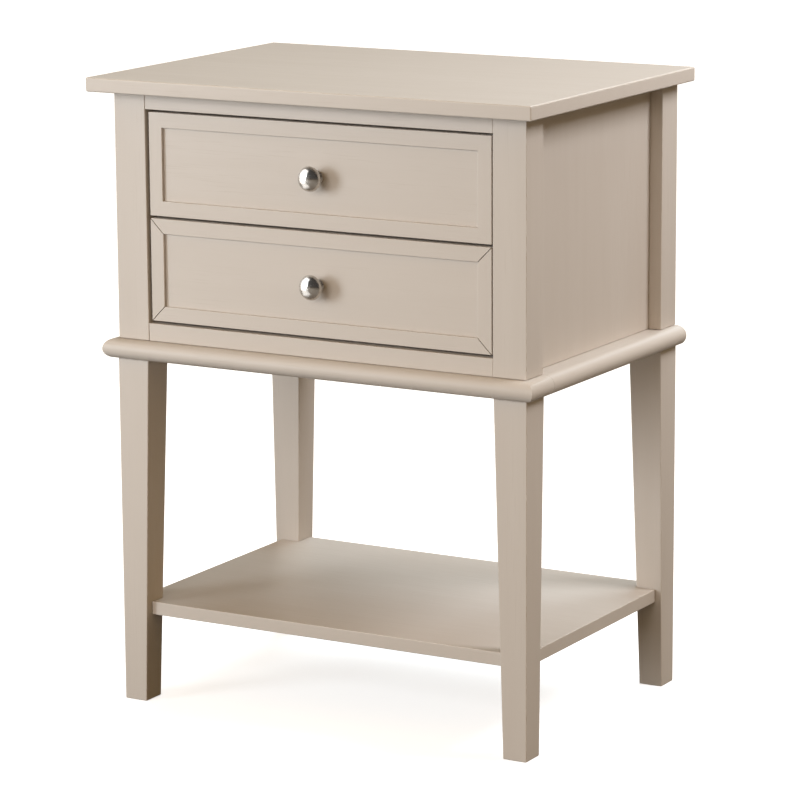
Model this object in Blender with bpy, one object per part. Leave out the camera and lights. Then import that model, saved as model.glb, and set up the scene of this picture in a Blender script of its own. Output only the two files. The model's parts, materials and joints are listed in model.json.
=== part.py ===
"""A nightstand: two inset drawers over an open shelf, on four tapered legs.

Run it with: blender --background --python part.py
Units are metres and +Z is up. The origin is on the floor, under the middle of the top board.
The drawers face -Y and slide out that way.
"""

import math

import bmesh
import bpy

# Overall sizes
TOTAL_HEIGHT = 0.713
TOP_WIDTH = 0.554
TOP_DEPTH = 0.393
TOP_THICKNESS = 0.016
TOP_OVERHANG_SIDE = 0.0195
TOP_OVERHANG_FRONT = 0.027
TOP_OVERHANG_BACK = 0.004

# Every pair of touching pieces keeps this gap, and moving pieces keep a wider one
FIT_GAP = 0.0003
RUNNING_GAP = 0.001

# Case: corner posts with grooved-in panels, tied by rails. A taller nightstand has longer legs.
CASE_HEIGHT = 0.2784
POST_WIDTH = 0.040
POST_DEPTH = 0.038
SIDE_PANEL_SETBACK = 0.0155
SIDE_PANEL_THICKNESS = 0.012
BACK_PANEL_SETBACK = 0.006
BACK_PANEL_THICKNESS = 0.005
GROOVE_DEPTH = 0.008
RAIL_DEPTH = 0.020
RAIL_SETBACK = 0.0005
TOP_RAIL_HEIGHT = 0.019
BOTTOM_RAIL_HEIGHT = 0.020
REAR_RAIL_HEIGHT = 0.040

# Base frame: flat boards with a round outer edge, between the case and the legs
BASE_THICKNESS = 0.022
BASE_OVERHANG = 0.014
BASE_ARC_STEPS = 8
DUST_BOARD_THICKNESS = 0.006

# Legs and shelf
LEG_PROUD = 0.001
LEG_DEPTH = 0.040
LEG_FOOT_WIDTH = 0.0285
LEG_FOOT_DEPTH = 0.0302
SHELF_TOP_HEIGHT = 0.1155
SHELF_THICKNESS = 0.015
SHELF_INSET_SIDE = 0.0075
SHELF_INSET_FRONT = 0.0095
SHELF_INSET_BACK = 0.0065

# Hanger bolts that hold each leg to its post through the base frame
BOLT_RADIUS = 0.0039
BOLT_BORE_CLEARANCE = 0.0003
BOLT_IN_LEG = 0.040
BOLT_IN_POST = 0.030
BORE_SPARE = 0.002

# Drawers
DRAWER_COUNT = 2
DRAWER_GAP = 0.003
DRAWER_SETBACK = 0.003
FRONT_BOARD_THICKNESS = 0.0165
FRAME_THICKNESS = 0.0035
FRAME_WIDTH = 0.0168
BOX_SIDE_THICKNESS = 0.012
BOX_SIDE_LIFT = 0.012
BOX_SIDE_DROP = 0.018
BOX_REAR_CLEARANCE = 0.012
BOX_BOTTOM_THICKNESS = 0.004
BOX_BOTTOM_LIFT = 0.008
BOX_GROOVE_DEPTH = 0.005

# Knobs and the screws that hold them
KNOB_DROP = 0.0008
KNOB_RIM_RADIUS = 0.0138
KNOB_FLANGE_RADIUS = 0.0072
KNOB_FLANGE_THICKNESS = 0.0025
KNOB_NECK_RADIUS = 0.0052
KNOB_NECK_HEIGHT = 0.0090
KNOB_RIM_HEIGHT = 0.0175
KNOB_HEIGHT = 0.0255
KNOB_BORE_DEPTH = 0.010
KNOB_FLANGE_SLOPE = 0.001
KNOB_FLARE_SHARE = 0.8
KNOB_FLARE_STEPS = 5
KNOB_DOME_STEPS = 7
SCREW_RADIUS = 0.0020
SCREW_HEAD_RADIUS = 0.0042
SCREW_TOP_RADIUS = 0.00357
SCREW_HEAD_HEIGHT = 0.0024
SCREW_IN_KNOB = 0.008
TURNED_STEPS = 24

# Telescopic drawer slides, one pair a drawer
SLIDE_THICKNESS = 0.0127
SLIDE_SHEET = 0.0012
SLIDE_HALF_HEIGHT = 0.0175
SLIDE_FLANGE = 0.0092
SLIDE_LIP = 0.0032
SLIDE_REACH_ON_REAR_POST = 0.020
INNER_HALF_HEIGHT = 0.0095
INNER_FLANGE_TIP = 0.0040
CAGE_SHEET = 0.0008
CAGE_WEB = 0.0020
CAGE_FLANGE_TIP = 0.0076
CAGE_HALF_HEIGHT = 0.0133
CAGE_LENGTH = 0.080

# Eased edges
TOP_EDGE = 0.0020
LEG_EDGE = 0.0012
FINE_EDGE = 0.0006
ROUND_EDGE_SEGMENTS = 2
SHARP_ANGLE = math.radians(40)

# Worked out from the sizes above
CASE_HALF_WIDTH = TOP_WIDTH / 2 - TOP_OVERHANG_SIDE
CASE_FRONT = -TOP_DEPTH / 2 + TOP_OVERHANG_FRONT
CASE_BACK = TOP_DEPTH / 2 - TOP_OVERHANG_BACK
TOP_UNDERSIDE = TOTAL_HEIGHT - TOP_THICKNESS
BASE_TOP_HEIGHT = TOP_UNDERSIDE - CASE_HEIGHT
BASE_UNDERSIDE = BASE_TOP_HEIGHT - BASE_THICKNESS
OPENING_HALF_WIDTH = CASE_HALF_WIDTH - POST_WIDTH
OPENING_TOP = TOP_UNDERSIDE - TOP_RAIL_HEIGHT
OPENING_BOTTOM = BASE_TOP_HEIGHT + BOTTOM_RAIL_HEIGHT
DRAWER_HEIGHT = (OPENING_TOP - OPENING_BOTTOM - (DRAWER_COUNT + 1) * DRAWER_GAP) / DRAWER_COUNT
BOX_SIDE_HEIGHT = DRAWER_HEIGHT - BOX_SIDE_LIFT - BOX_SIDE_DROP
DRAWER_HALF_WIDTH = OPENING_HALF_WIDTH - DRAWER_GAP
DRAWER_FACE = CASE_FRONT + DRAWER_SETBACK
FRONT_THICKNESS = FRAME_THICKNESS + FIT_GAP + FRONT_BOARD_THICKNESS
BOX_HALF_WIDTH = OPENING_HALF_WIDTH - SLIDE_THICKNESS
PANEL_GROOVE_BACK = CASE_BACK - BACK_PANEL_SETBACK - BACK_PANEL_THICKNESS
BOLT_BORE_RADIUS = BOLT_RADIUS + BOLT_BORE_CLEARANCE
REAR_RAIL_FRONT = PANEL_GROOVE_BACK - FIT_GAP - RAIL_DEPTH
BOX_LENGTH = REAR_RAIL_FRONT - BOX_REAR_CLEARANCE - (DRAWER_FACE + FRONT_THICKNESS + FIT_GAP)
SIDES = (("left", -1), ("right", 1))
ENDS = (("front", -1), ("rear", 1))

FINISHES = {
    "paint": ((0.58, 0.51, 0.43), 0.42, 0.0),
    "inner_wood": ((0.60, 0.47, 0.32), 0.60, 0.0),
    "nickel": ((0.62, 0.60, 0.57), 0.28, 1.0),
    "steel": ((0.55, 0.56, 0.58), 0.35, 1.0),
}


def give_finish(obj, finish):
    colour, roughness, metallic = FINISHES[finish]
    material = bpy.data.materials.new(f"{obj.name}_{finish}")
    material.use_nodes = True
    shader = material.node_tree.nodes["Principled BSDF"]
    shader.inputs["Base Color"].default_value = (*colour, 1.0)
    shader.inputs["Roughness"].default_value = roughness
    shader.inputs["Metallic"].default_value = metallic
    obj.data.materials.append(material)


def add_body(name, rings, finish, parent=None):
    """A closed body through rings of points. A ring of one point closes that end to a tip."""
    body = bmesh.new()
    made = [[body.verts.new(point) for point in ring] for ring in rings]
    for ring in (made[0], made[-1]):
        if len(ring) > 1:
            body.faces.new(ring)
    for low, high in zip(made, made[1:]):
        count = max(len(low), len(high))
        for i in range(count):
            j = (i + 1) % count
            corners = [low[i % len(low)], low[j % len(low)], high[j % len(high)], high[i % len(high)]]
            body.faces.new(list(dict.fromkeys(corners)))
    bmesh.ops.recalc_face_normals(body, faces=body.faces)
    mesh = bpy.data.meshes.new(name)
    body.to_mesh(mesh)
    body.free()
    obj = bpy.data.objects.new(name, mesh)
    bpy.context.scene.collection.objects.link(obj)
    obj.parent = parent
    give_finish(obj, finish)
    return obj


def add_box(name, low, high, finish, parent=None):
    """A box between two corners, with its mesh round its own middle."""
    middle = [(a + b) / 2 for a, b in zip(low, high)]
    x, y, z = [(b - a) / 2 for a, b in zip(low, high)]
    corners = [(-x, -y), (x, -y), (x, y), (-x, y)]
    rings = [[(a, b, height) for a, b in corners] for height in (-z, z)]
    obj = add_body(name, rings, finish, parent)
    obj.location = middle
    return obj


def add_prism(name, outline, axis, start, end, finish, parent=None):
    """An outline carried straight along X, Y or Z. The outline holds the other two coordinates in order."""
    place = "XYZ".index(axis)

    def ring(distance):
        return [(*point[:place], distance, *point[place:]) for point in outline]

    half = (end - start) / 2
    obj = add_body(name, [ring(-half), ring(half)], finish, parent)
    obj.location[place] = (start + end) / 2
    return obj


def add_turned(name, profile, finish, parent=None):
    """A round body about local Z from (radius, height) points, the first and last of them on the axis."""
    angles = [2 * math.pi * step / TURNED_STEPS for step in range(TURNED_STEPS)]
    rings = []
    for radius, height in profile:
        if radius == 0:
            rings.append([(0, 0, height)])
        else:
            rings.append([(radius * math.cos(a), radius * math.sin(a), height) for a in angles])
    obj = add_body(name, rings, finish, parent)
    obj.data.shade_smooth()
    obj.data.set_sharp_from_angle(angle=SHARP_ANGLE)
    return obj


def ease(obj, width, segments=1):
    """Takes the sharpness off a piece's edges."""
    bevel = obj.modifiers.new("eased_edges", "BEVEL")
    bevel.width = width
    bevel.segments = segments
    bevel.limit_method = "ANGLE"
    bevel.angle_limit = SHARP_ANGLE
    return obj


def add_empty(name, location):
    empty = bpy.data.objects.new(name, None)
    empty.location = location
    bpy.context.scene.collection.objects.link(empty)
    return empty


def drill(obj, name, radius, low, high):
    """Cuts a round hole from one height of its own Z to another, and gives the cutter back to be placed."""
    profile = [(0, low), (radius, low), (radius, high), (0, high)]
    cutter = add_turned(name, profile, "steel", obj.parent)
    cutter.hide_render = True
    cutter.display_type = "WIRE"
    cut = obj.modifiers.new(name, "BOOLEAN")
    cut.operation = "DIFFERENCE"
    cut.solver = "EXACT"
    cut.object = cutter
    return cutter


# Places shared by several pieces

def post_range_x(side):
    """The post's outer and inner faces across the width, lowest first."""
    return sorted((side * CASE_HALF_WIDTH, side * OPENING_HALF_WIDTH))


def post_range_y(end):
    if end < 0:
        return CASE_FRONT, CASE_FRONT + POST_DEPTH
    return CASE_BACK - POST_DEPTH, CASE_BACK


def bolt_place(side, end):
    """A leg's bolt stands on the middle of its post."""
    return sum(post_range_x(side)) / 2, sum(post_range_y(end)) / 2


def drawer_bottom(index):
    """Drawer 0 is the upper one."""
    below = DRAWER_COUNT - 1 - index
    return OPENING_BOTTOM + DRAWER_GAP + below * (DRAWER_HEIGHT + DRAWER_GAP)


def slide_height(index):
    return drawer_bottom(index) + BOX_SIDE_LIFT + BOX_SIDE_HEIGHT / 2


# Case

def make_top_board():
    low = (-TOP_WIDTH / 2, -TOP_DEPTH / 2, TOP_UNDERSIDE)
    high = (TOP_WIDTH / 2, TOP_DEPTH / 2, TOTAL_HEIGHT)
    ease(add_box("top_board", low, high, "paint"), TOP_EDGE, ROUND_EDGE_SEGMENTS)


def post_outline(side, end):
    """A post's section, with a groove for the side panel and, at the rear, one for the back panel.

    It is drawn for a post whose outer corner is at the origin and whose section runs to
    (POST_WIDTH, POST_DEPTH), then turned to its own corner.
    """
    groove = GROOVE_DEPTH + FIT_GAP
    side_near = SIDE_PANEL_SETBACK - FIT_GAP
    side_far = SIDE_PANEL_SETBACK + SIDE_PANEL_THICKNESS + FIT_GAP
    points = [
        (0, 0),
        (POST_WIDTH, 0),
        (POST_WIDTH, POST_DEPTH),
        (side_far, POST_DEPTH),
        (side_far, POST_DEPTH - groove),
        (side_near, POST_DEPTH - groove),
        (side_near, POST_DEPTH),
        (0, POST_DEPTH),
    ]
    if end > 0:
        back_near = BACK_PANEL_SETBACK - FIT_GAP
        back_far = BACK_PANEL_SETBACK + BACK_PANEL_THICKNESS + FIT_GAP
        points[2:2] = [
            (POST_WIDTH, back_near),
            (POST_WIDTH - groove, back_near),
            (POST_WIDTH - groove, back_far),
            (POST_WIDTH, back_far),
        ]
    outer_x = side * CASE_HALF_WIDTH
    outer_y = CASE_FRONT if end < 0 else CASE_BACK
    return [(outer_x - side * x, outer_y - end * y) for x, y in points]


def make_posts():
    for end_name, end in ENDS:
        for side_name, side in SIDES:
            name = f"post_{end_name}_{side_name}"
            low, high = BASE_TOP_HEIGHT + FIT_GAP, TOP_UNDERSIDE - FIT_GAP
            post = add_prism(name, post_outline(side, end), "Z", low, high, "paint")
            ease(post, FINE_EDGE)
            bore_top = BASE_TOP_HEIGHT + BOLT_IN_POST + BORE_SPARE
            cutter = drill(post, f"{name}_bore", BOLT_BORE_RADIUS, BASE_TOP_HEIGHT - BORE_SPARE, bore_top)
            cutter.location[:2] = bolt_place(side, end)


def make_case_panels():
    low_z, high_z = BASE_TOP_HEIGHT + FIT_GAP, TOP_UNDERSIDE - FIT_GAP
    front = CASE_FRONT + POST_DEPTH - GROOVE_DEPTH
    back = CASE_BACK - POST_DEPTH + GROOVE_DEPTH
    for side_name, side in SIDES:
        outer = side * (CASE_HALF_WIDTH - SIDE_PANEL_SETBACK)
        inner = outer - side * SIDE_PANEL_THICKNESS
        low = (min(outer, inner), front, low_z)
        high = (max(outer, inner), back, high_z)
        add_box(f"side_panel_{side_name}", low, high, "paint")
    half = OPENING_HALF_WIDTH + GROOVE_DEPTH
    low = (-half, PANEL_GROOVE_BACK, low_z)
    high = (half, PANEL_GROOVE_BACK + BACK_PANEL_THICKNESS, high_z)
    add_box("back_panel", low, high, "inner_wood")


def make_rails():
    half = OPENING_HALF_WIDTH - FIT_GAP
    front = CASE_FRONT + RAIL_SETBACK
    top = TOP_UNDERSIDE - FIT_GAP
    rails = {
        "top_front_rail": (front, OPENING_TOP, top, "paint"),
        "bottom_front_rail": (front, BASE_TOP_HEIGHT + FIT_GAP, OPENING_BOTTOM, "paint"),
        "top_rear_rail": (REAR_RAIL_FRONT, top - REAR_RAIL_HEIGHT, top, "inner_wood"),
    }
    for name, (y, low_z, high_z, finish) in rails.items():
        ease(add_box(name, (-half, y, low_z), (half, y + RAIL_DEPTH, high_z), finish), FINE_EDGE)


# Base frame

def round_edge_steps():
    """(height, how far past the post) up the base boards' round outer edge."""
    radius = BASE_THICKNESS / 2
    steps = []
    for step in range(BASE_ARC_STEPS + 1):
        angle = -math.pi / 2 + math.pi * step / BASE_ARC_STEPS
        height = BASE_UNDERSIDE + radius + radius * math.sin(angle)
        past = BASE_OVERHANG - radius + radius * math.cos(angle)
        steps.append((height, past))
    return steps


def make_base_frame():
    rear = CASE_FRONT + POST_DEPTH
    rings = []
    for height, past in round_edge_steps():
        x, y = CASE_HALF_WIDTH + past, CASE_FRONT - past
        rings.append([(-x, y, height), (x, y, height), (x, rear, height), (-x, rear, height)])
    front_board = add_body("base_front_board", rings, "paint")
    for side_name, side in SIDES:
        outline = [(side * (CASE_HALF_WIDTH + past), height) for height, past in round_edge_steps()]
        inner = side * OPENING_HALF_WIDTH
        outline += [(inner, BASE_TOP_HEIGHT), (inner, BASE_UNDERSIDE)]
        name = f"base_side_board_{side_name}"
        side_board = add_prism(name, outline, "Y", rear + FIT_GAP, CASE_BACK, "paint")
        for board, end in ((front_board, -1), (side_board, 1)):
            low, high = BASE_UNDERSIDE - BORE_SPARE, BASE_TOP_HEIGHT + BORE_SPARE
            cutter = drill(board, f"{board.name}_bore_{side_name}", BOLT_BORE_RADIUS, low, high)
            cutter.location[:2] = bolt_place(side, end)
    half = OPENING_HALF_WIDTH - FIT_GAP
    low = (-half, CASE_BACK - POST_DEPTH, BASE_UNDERSIDE)
    ease(add_box("base_rear_board", low, (half, CASE_BACK, BASE_TOP_HEIGHT), "paint"), FINE_EDGE)
    dust_low = (-half, CASE_FRONT + RAIL_SETBACK + RAIL_DEPTH + FIT_GAP, BASE_TOP_HEIGHT + FIT_GAP)
    dust_high = (half, PANEL_GROOVE_BACK - FIT_GAP, BASE_TOP_HEIGHT + FIT_GAP + DUST_BOARD_THICKNESS)
    add_box("dust_board", dust_low, dust_high, "inner_wood")


# Legs, bolts and shelf

def leg_outer_corner(side, end):
    """Legs stand a little proud of the posts' outer faces."""
    y = CASE_FRONT - LEG_PROUD if end < 0 else CASE_BACK
    return side * (CASE_HALF_WIDTH + LEG_PROUD), y


def leg_size_at(height):
    """A leg's width and depth at a height: straight outside, tapered inside."""
    share = height / (BASE_UNDERSIDE - FIT_GAP)
    width = LEG_FOOT_WIDTH + (POST_WIDTH - LEG_FOOT_WIDTH) * share
    depth = LEG_FOOT_DEPTH + (LEG_DEPTH - LEG_FOOT_DEPTH) * share
    return width, depth


def make_legs():
    top = BASE_UNDERSIDE - FIT_GAP
    for end_name, end in ENDS:
        for side_name, side in SIDES:
            outer_x, outer_y = leg_outer_corner(side, end)
            rings = []
            for height in (0, top):
                width, depth = leg_size_at(height)
                x, y = -side * width, -end * depth
                rings.append([(0, 0, height), (x, 0, height), (x, y, height), (0, y, height)])
            name = f"leg_{end_name}_{side_name}"
            leg = add_body(name, rings, "paint")
            leg.location = (outer_x, outer_y, 0)
            ease(leg, LEG_EDGE, ROUND_EDGE_SEGMENTS)
            bore_bottom = BASE_UNDERSIDE - BOLT_IN_LEG - BORE_SPARE
            cutter = drill(leg, f"{name}_bore", BOLT_BORE_RADIUS, bore_bottom, BASE_UNDERSIDE + BORE_SPARE)
            cutter.location[:2] = bolt_place(side, end)
            half = (BOLT_IN_LEG + BASE_THICKNESS + BOLT_IN_POST) / 2
            profile = [(0, -half), (BOLT_RADIUS, -half), (BOLT_RADIUS, half), (0, half)]
            bolt = add_turned(f"leg_bolt_{end_name}_{side_name}", profile, "steel")
            bolt.location = (*bolt_place(side, end), BASE_UNDERSIDE - BOLT_IN_LEG + half)


def make_shelf():
    """The shelf's corners are notched round the legs where they are thickest."""
    width, depth = leg_size_at(SHELF_TOP_HEIGHT)
    half = CASE_HALF_WIDTH + LEG_PROUD - SHELF_INSET_SIDE
    notch_x = CASE_HALF_WIDTH + LEG_PROUD - width - FIT_GAP
    front = CASE_FRONT - LEG_PROUD + SHELF_INSET_FRONT
    back = CASE_BACK - SHELF_INSET_BACK
    notch_front = CASE_FRONT - LEG_PROUD + depth + FIT_GAP
    notch_back = CASE_BACK - depth - FIT_GAP
    right_side = [
        (notch_x, front),
        (notch_x, notch_front),
        (half, notch_front),
        (half, notch_back),
        (notch_x, notch_back),
        (notch_x, back),
    ]
    outline = right_side + [(-x, y) for x, y in reversed(right_side)]
    underside = SHELF_TOP_HEIGHT - SHELF_THICKNESS
    shelf = add_prism("shelf", outline, "Z", underside, SHELF_TOP_HEIGHT, "paint")
    ease(shelf, FINE_EDGE, ROUND_EDGE_SEGMENTS)


# Drawer slides

def channel(web, tip, half_height, sheet, lip=0.0):
    """A folded channel's section as (distance from the post, height), with its web and its flange tips."""
    inward = math.copysign(sheet, tip - web)
    upper = [(web, half_height), (tip, half_height)]
    if lip:
        upper += [(tip, half_height - lip), (tip - inward, half_height - lip)]
        upper += [(tip - inward, half_height - sheet)]
    else:
        upper += [(tip, half_height - sheet)]
    upper += [(web + inward, half_height - sheet)]
    return upper + [(distance, -height) for distance, height in reversed(upper)]


def add_channel(name, side, section, height, start, end, parent):
    """A channel beside the drawer opening. start and end are places along Y, seen from the parent."""
    outline = [(side * (OPENING_HALF_WIDTH - distance), z) for distance, z in section]
    piece = add_prism(name, outline, "Y", start, end, "steel", parent)
    piece.location.z = height
    return piece


def make_slides(index, label, drawer, cages):
    """The case channel stays, the drawer channel moves with the box, the ball cage rolls between.

    The drawer's empty and the cages' empty start at the same place.
    """
    box_front = DRAWER_FACE + FRONT_THICKNESS + FIT_GAP
    case_end = CASE_BACK - POST_DEPTH + SLIDE_REACH_ON_REAR_POST
    height = slide_height(index)
    outer = channel(FIT_GAP, SLIDE_FLANGE, SLIDE_HALF_HEIGHT, SLIDE_SHEET, SLIDE_LIP)
    inner = channel(SLIDE_THICKNESS - FIT_GAP, INNER_FLANGE_TIP, INNER_HALF_HEIGHT, SLIDE_SHEET)
    cage = channel(CAGE_WEB, CAGE_FLANGE_TIP, CAGE_HALF_HEIGHT, CAGE_SHEET)
    moving_front = box_front - drawer.location.y
    moving_end = moving_front + BOX_LENGTH
    cage_front = moving_front + (BOX_LENGTH - CAGE_LENGTH) / 2
    cage_end = cage_front + CAGE_LENGTH
    rise = height - drawer.location.z
    for side_name, side in SIDES:
        name = f"{label}_case_slide_{side_name}"
        add_channel(name, side, outer, height, box_front + RUNNING_GAP, case_end, None)
        name = f"{label}_drawer_slide_{side_name}"
        add_channel(name, side, inner, rise, moving_front, moving_end, drawer)
        name = f"{label}_ball_cage_{side_name}"
        add_channel(name, side, cage, rise, cage_front, cage_end, cages)


# Drawers. Each is built about an empty at the middle of its face, on its slide's line.

def make_drawer_front(label, drawer):
    half_x, half_z = DRAWER_HALF_WIDTH, DRAWER_HEIGHT / 2
    inner_x, inner_z = half_x - FRAME_WIDTH, half_z - FRAME_WIDTH
    cut = FIT_GAP / math.sqrt(2)
    top = [
        (-half_x + cut, half_z),
        (half_x - cut, half_z),
        (inner_x - cut, inner_z),
        (-inner_x + cut, inner_z),
    ]
    right = [
        (half_x, half_z - cut),
        (half_x, -half_z + cut),
        (inner_x, -inner_z + cut),
        (inner_x, inner_z - cut),
    ]
    sticks = {
        "top": top,
        "right": right,
        "bottom": [(x, -z) for x, z in top],
        "left": [(-x, z) for x, z in right],
    }
    for place, outline in sticks.items():
        stick = add_prism(f"{label}_frame_{place}", outline, "Y", 0, FRAME_THICKNESS, "paint", drawer)
        ease(stick, FINE_EDGE)
    low_y = FRAME_THICKNESS + FIT_GAP
    high_y = FRONT_THICKNESS
    groove_low = -half_z + BOX_SIDE_LIFT + BOX_BOTTOM_LIFT - FIT_GAP
    groove_high = groove_low + BOX_BOTTOM_THICKNESS + 2 * FIT_GAP
    section = [
        (low_y, -half_z),
        (high_y, -half_z),
        (high_y, groove_low),
        (high_y - BOX_GROOVE_DEPTH - FIT_GAP, groove_low),
        (high_y - BOX_GROOVE_DEPTH - FIT_GAP, groove_high),
        (high_y, groove_high),
        (high_y, half_z),
        (low_y, half_z),
    ]
    board = add_prism(f"{label}_front_board", section, "X", -half_x, half_x, "paint", drawer)
    cutter = drill(board, f"{label}_screw_hole", SCREW_RADIUS + FIT_GAP, 0, 2 * high_y)
    cutter.rotation_euler.x = -math.pi / 2
    cutter.location.z = -KNOB_DROP


def make_drawer_box(label, drawer):
    half_z = DRAWER_HEIGHT / 2
    low_z = -half_z + BOX_SIDE_LIFT
    high_z = low_z + BOX_SIDE_HEIGHT
    start = FRONT_THICKNESS + FIT_GAP
    end = start + BOX_LENGTH
    inner_x = BOX_HALF_WIDTH - BOX_SIDE_THICKNESS
    groove_low = low_z + BOX_BOTTOM_LIFT - FIT_GAP
    groove_high = groove_low + BOX_BOTTOM_THICKNESS + 2 * FIT_GAP
    groove = BOX_GROOVE_DEPTH + FIT_GAP

    def grooved(near, far):
        """A board's section from its far face to its near face, which has the groove for the bottom."""
        inward = math.copysign(groove, far - near)
        return [
            (far, low_z),
            (near, low_z),
            (near, groove_low),
            (near + inward, groove_low),
            (near + inward, groove_high),
            (near, groove_high),
            (near, high_z),
            (far, high_z),
        ]

    for side_name, side in SIDES:
        section = grooved(side * inner_x, side * BOX_HALF_WIDTH)
        add_prism(f"{label}_box_side_{side_name}", section, "Y", start, end, "inner_wood", drawer)
    back_half = inner_x - FIT_GAP
    back_section = grooved(end - BOX_SIDE_THICKNESS, end)
    add_prism(f"{label}_box_back", back_section, "X", -back_half, back_half, "inner_wood", drawer)
    half = inner_x + BOX_GROOVE_DEPTH
    bottom_low = (-half, FRONT_THICKNESS - BOX_GROOVE_DEPTH, groove_low + FIT_GAP)
    bottom_high = (half, end - BOX_SIDE_THICKNESS + BOX_GROOVE_DEPTH, groove_high - FIT_GAP)
    add_box(f"{label}_box_bottom", bottom_low, bottom_high, "inner_wood", drawer)


def knob_profile():
    """From the bottom of the screw's bore, out over the flange, neck and rim, to the middle of the dome."""
    bore = SCREW_RADIUS + FIT_GAP
    profile = [(0, KNOB_BORE_DEPTH), (bore, KNOB_BORE_DEPTH), (bore, 0), (KNOB_FLANGE_RADIUS, 0)]
    profile += [(KNOB_FLANGE_RADIUS, KNOB_FLANGE_THICKNESS)]
    profile += [(KNOB_NECK_RADIUS, KNOB_FLANGE_THICKNESS + KNOB_FLANGE_SLOPE)]
    flare_height = (KNOB_RIM_HEIGHT - KNOB_NECK_HEIGHT) * KNOB_FLARE_SHARE
    for step in range(KNOB_FLARE_STEPS + 1):
        angle = math.pi / 2 * step / KNOB_FLARE_STEPS
        radius = KNOB_RIM_RADIUS - (KNOB_RIM_RADIUS - KNOB_NECK_RADIUS) * math.cos(angle)
        height = KNOB_NECK_HEIGHT + flare_height * (1 - math.cos(angle))
        profile.append((radius, height))
    for step in range(KNOB_DOME_STEPS + 1):
        angle = math.pi / 2 * step / KNOB_DOME_STEPS
        height = KNOB_RIM_HEIGHT + (KNOB_HEIGHT - KNOB_RIM_HEIGHT) * math.sin(angle)
        radius = 0 if step == KNOB_DOME_STEPS else KNOB_RIM_RADIUS * math.cos(angle)
        profile.append((radius, height))
    return profile


def make_knob(label, drawer):
    knob = add_turned(f"{label}_knob", knob_profile(), "nickel", drawer)
    knob.rotation_euler.x = math.pi / 2
    knob.location = (0, FRAME_THICKNESS, -KNOB_DROP)
    shank_end = FRAME_THICKNESS - SCREW_IN_KNOB
    head_start = FRONT_THICKNESS + FIT_GAP
    profile = [
        (0, shank_end),
        (SCREW_RADIUS, shank_end),
        (SCREW_RADIUS, head_start),
        (SCREW_HEAD_RADIUS, head_start),
        (SCREW_TOP_RADIUS, head_start + SCREW_HEAD_HEIGHT),
        (0, head_start + SCREW_HEAD_HEIGHT),
    ]
    screw = add_turned(f"{label}_knob_screw", profile, "steel", drawer)
    screw.rotation_euler.x = -math.pi / 2
    screw.location.z = -KNOB_DROP


def make_drawers():
    for index, label in enumerate(("upper", "lower")):
        middle = (0, DRAWER_FACE, drawer_bottom(index) + DRAWER_HEIGHT / 2)
        drawer = add_empty(f"{label}_drawer_line", middle)
        cages = add_empty(f"{label}_ball_cage_line", middle)
        make_drawer_front(label, drawer)
        make_drawer_box(label, drawer)
        make_knob(label, drawer)
        make_slides(index, label, drawer, cages)


for old in list(bpy.data.objects):
    bpy.data.objects.remove(old, do_unlink=True)
make_top_board()
make_posts()
make_case_panels()
make_rails()
make_base_frame()
make_legs()
make_shelf()
make_drawers()
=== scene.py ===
# %% [markdown]
# # A painted nightstand with two drawers
# The working model of this nightstand already exists: every board, slide and bolt sits in its
# place, in metres, with +Z up and the drawers facing -Y. This file gives that model its looks.
# Each plain board is replaced by a finished one with rounded edges, grooves and drilled holes,
# and every surface gets a finish made of shader nodes. The first step only loads the model.

# %% Load the working model
import json
import math

import bmesh
import bpy
from mathutils import Matrix, Vector

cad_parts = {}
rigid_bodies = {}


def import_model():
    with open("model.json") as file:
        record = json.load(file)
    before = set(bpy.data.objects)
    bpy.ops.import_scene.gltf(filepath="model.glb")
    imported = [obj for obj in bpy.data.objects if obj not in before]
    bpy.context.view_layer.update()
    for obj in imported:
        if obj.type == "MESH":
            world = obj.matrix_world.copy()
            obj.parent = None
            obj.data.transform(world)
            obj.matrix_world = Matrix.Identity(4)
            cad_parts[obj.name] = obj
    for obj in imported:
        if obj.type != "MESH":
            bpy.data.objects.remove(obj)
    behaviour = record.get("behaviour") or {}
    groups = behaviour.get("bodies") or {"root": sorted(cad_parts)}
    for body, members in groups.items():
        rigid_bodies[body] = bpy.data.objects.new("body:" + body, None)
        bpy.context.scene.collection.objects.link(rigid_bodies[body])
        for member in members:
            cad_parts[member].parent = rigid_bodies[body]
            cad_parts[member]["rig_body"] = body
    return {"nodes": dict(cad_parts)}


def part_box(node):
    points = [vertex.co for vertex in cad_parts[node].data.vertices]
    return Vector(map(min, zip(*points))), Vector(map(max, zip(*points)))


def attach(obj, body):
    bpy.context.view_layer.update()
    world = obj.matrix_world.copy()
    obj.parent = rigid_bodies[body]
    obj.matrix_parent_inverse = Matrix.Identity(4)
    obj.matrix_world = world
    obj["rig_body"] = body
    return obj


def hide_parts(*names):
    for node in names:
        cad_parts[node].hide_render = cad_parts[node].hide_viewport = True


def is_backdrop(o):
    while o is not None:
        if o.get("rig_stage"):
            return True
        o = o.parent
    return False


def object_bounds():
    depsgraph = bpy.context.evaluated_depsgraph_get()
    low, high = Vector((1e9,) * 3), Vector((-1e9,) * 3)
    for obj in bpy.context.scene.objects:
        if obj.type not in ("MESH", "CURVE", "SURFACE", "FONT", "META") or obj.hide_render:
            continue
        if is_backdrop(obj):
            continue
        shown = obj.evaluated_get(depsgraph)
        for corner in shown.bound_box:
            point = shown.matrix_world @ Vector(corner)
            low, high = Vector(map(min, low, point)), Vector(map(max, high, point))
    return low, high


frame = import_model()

cad_low, cad_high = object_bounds()
print("overall size:", [round(side, 4) for side in cad_high - cad_low])

# %% [markdown]
# ## The camera
# Furniture is shown from a little above and from one side, with a long lens far away, so that
# its upright lines stay upright. The camera could be turned by hand with a Track To constraint.
# Here its three axes are worked out from two angles and a small tilt, which keeps the view exact
# and easy to change. The camera aims at the middle of the nightstand.

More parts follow.
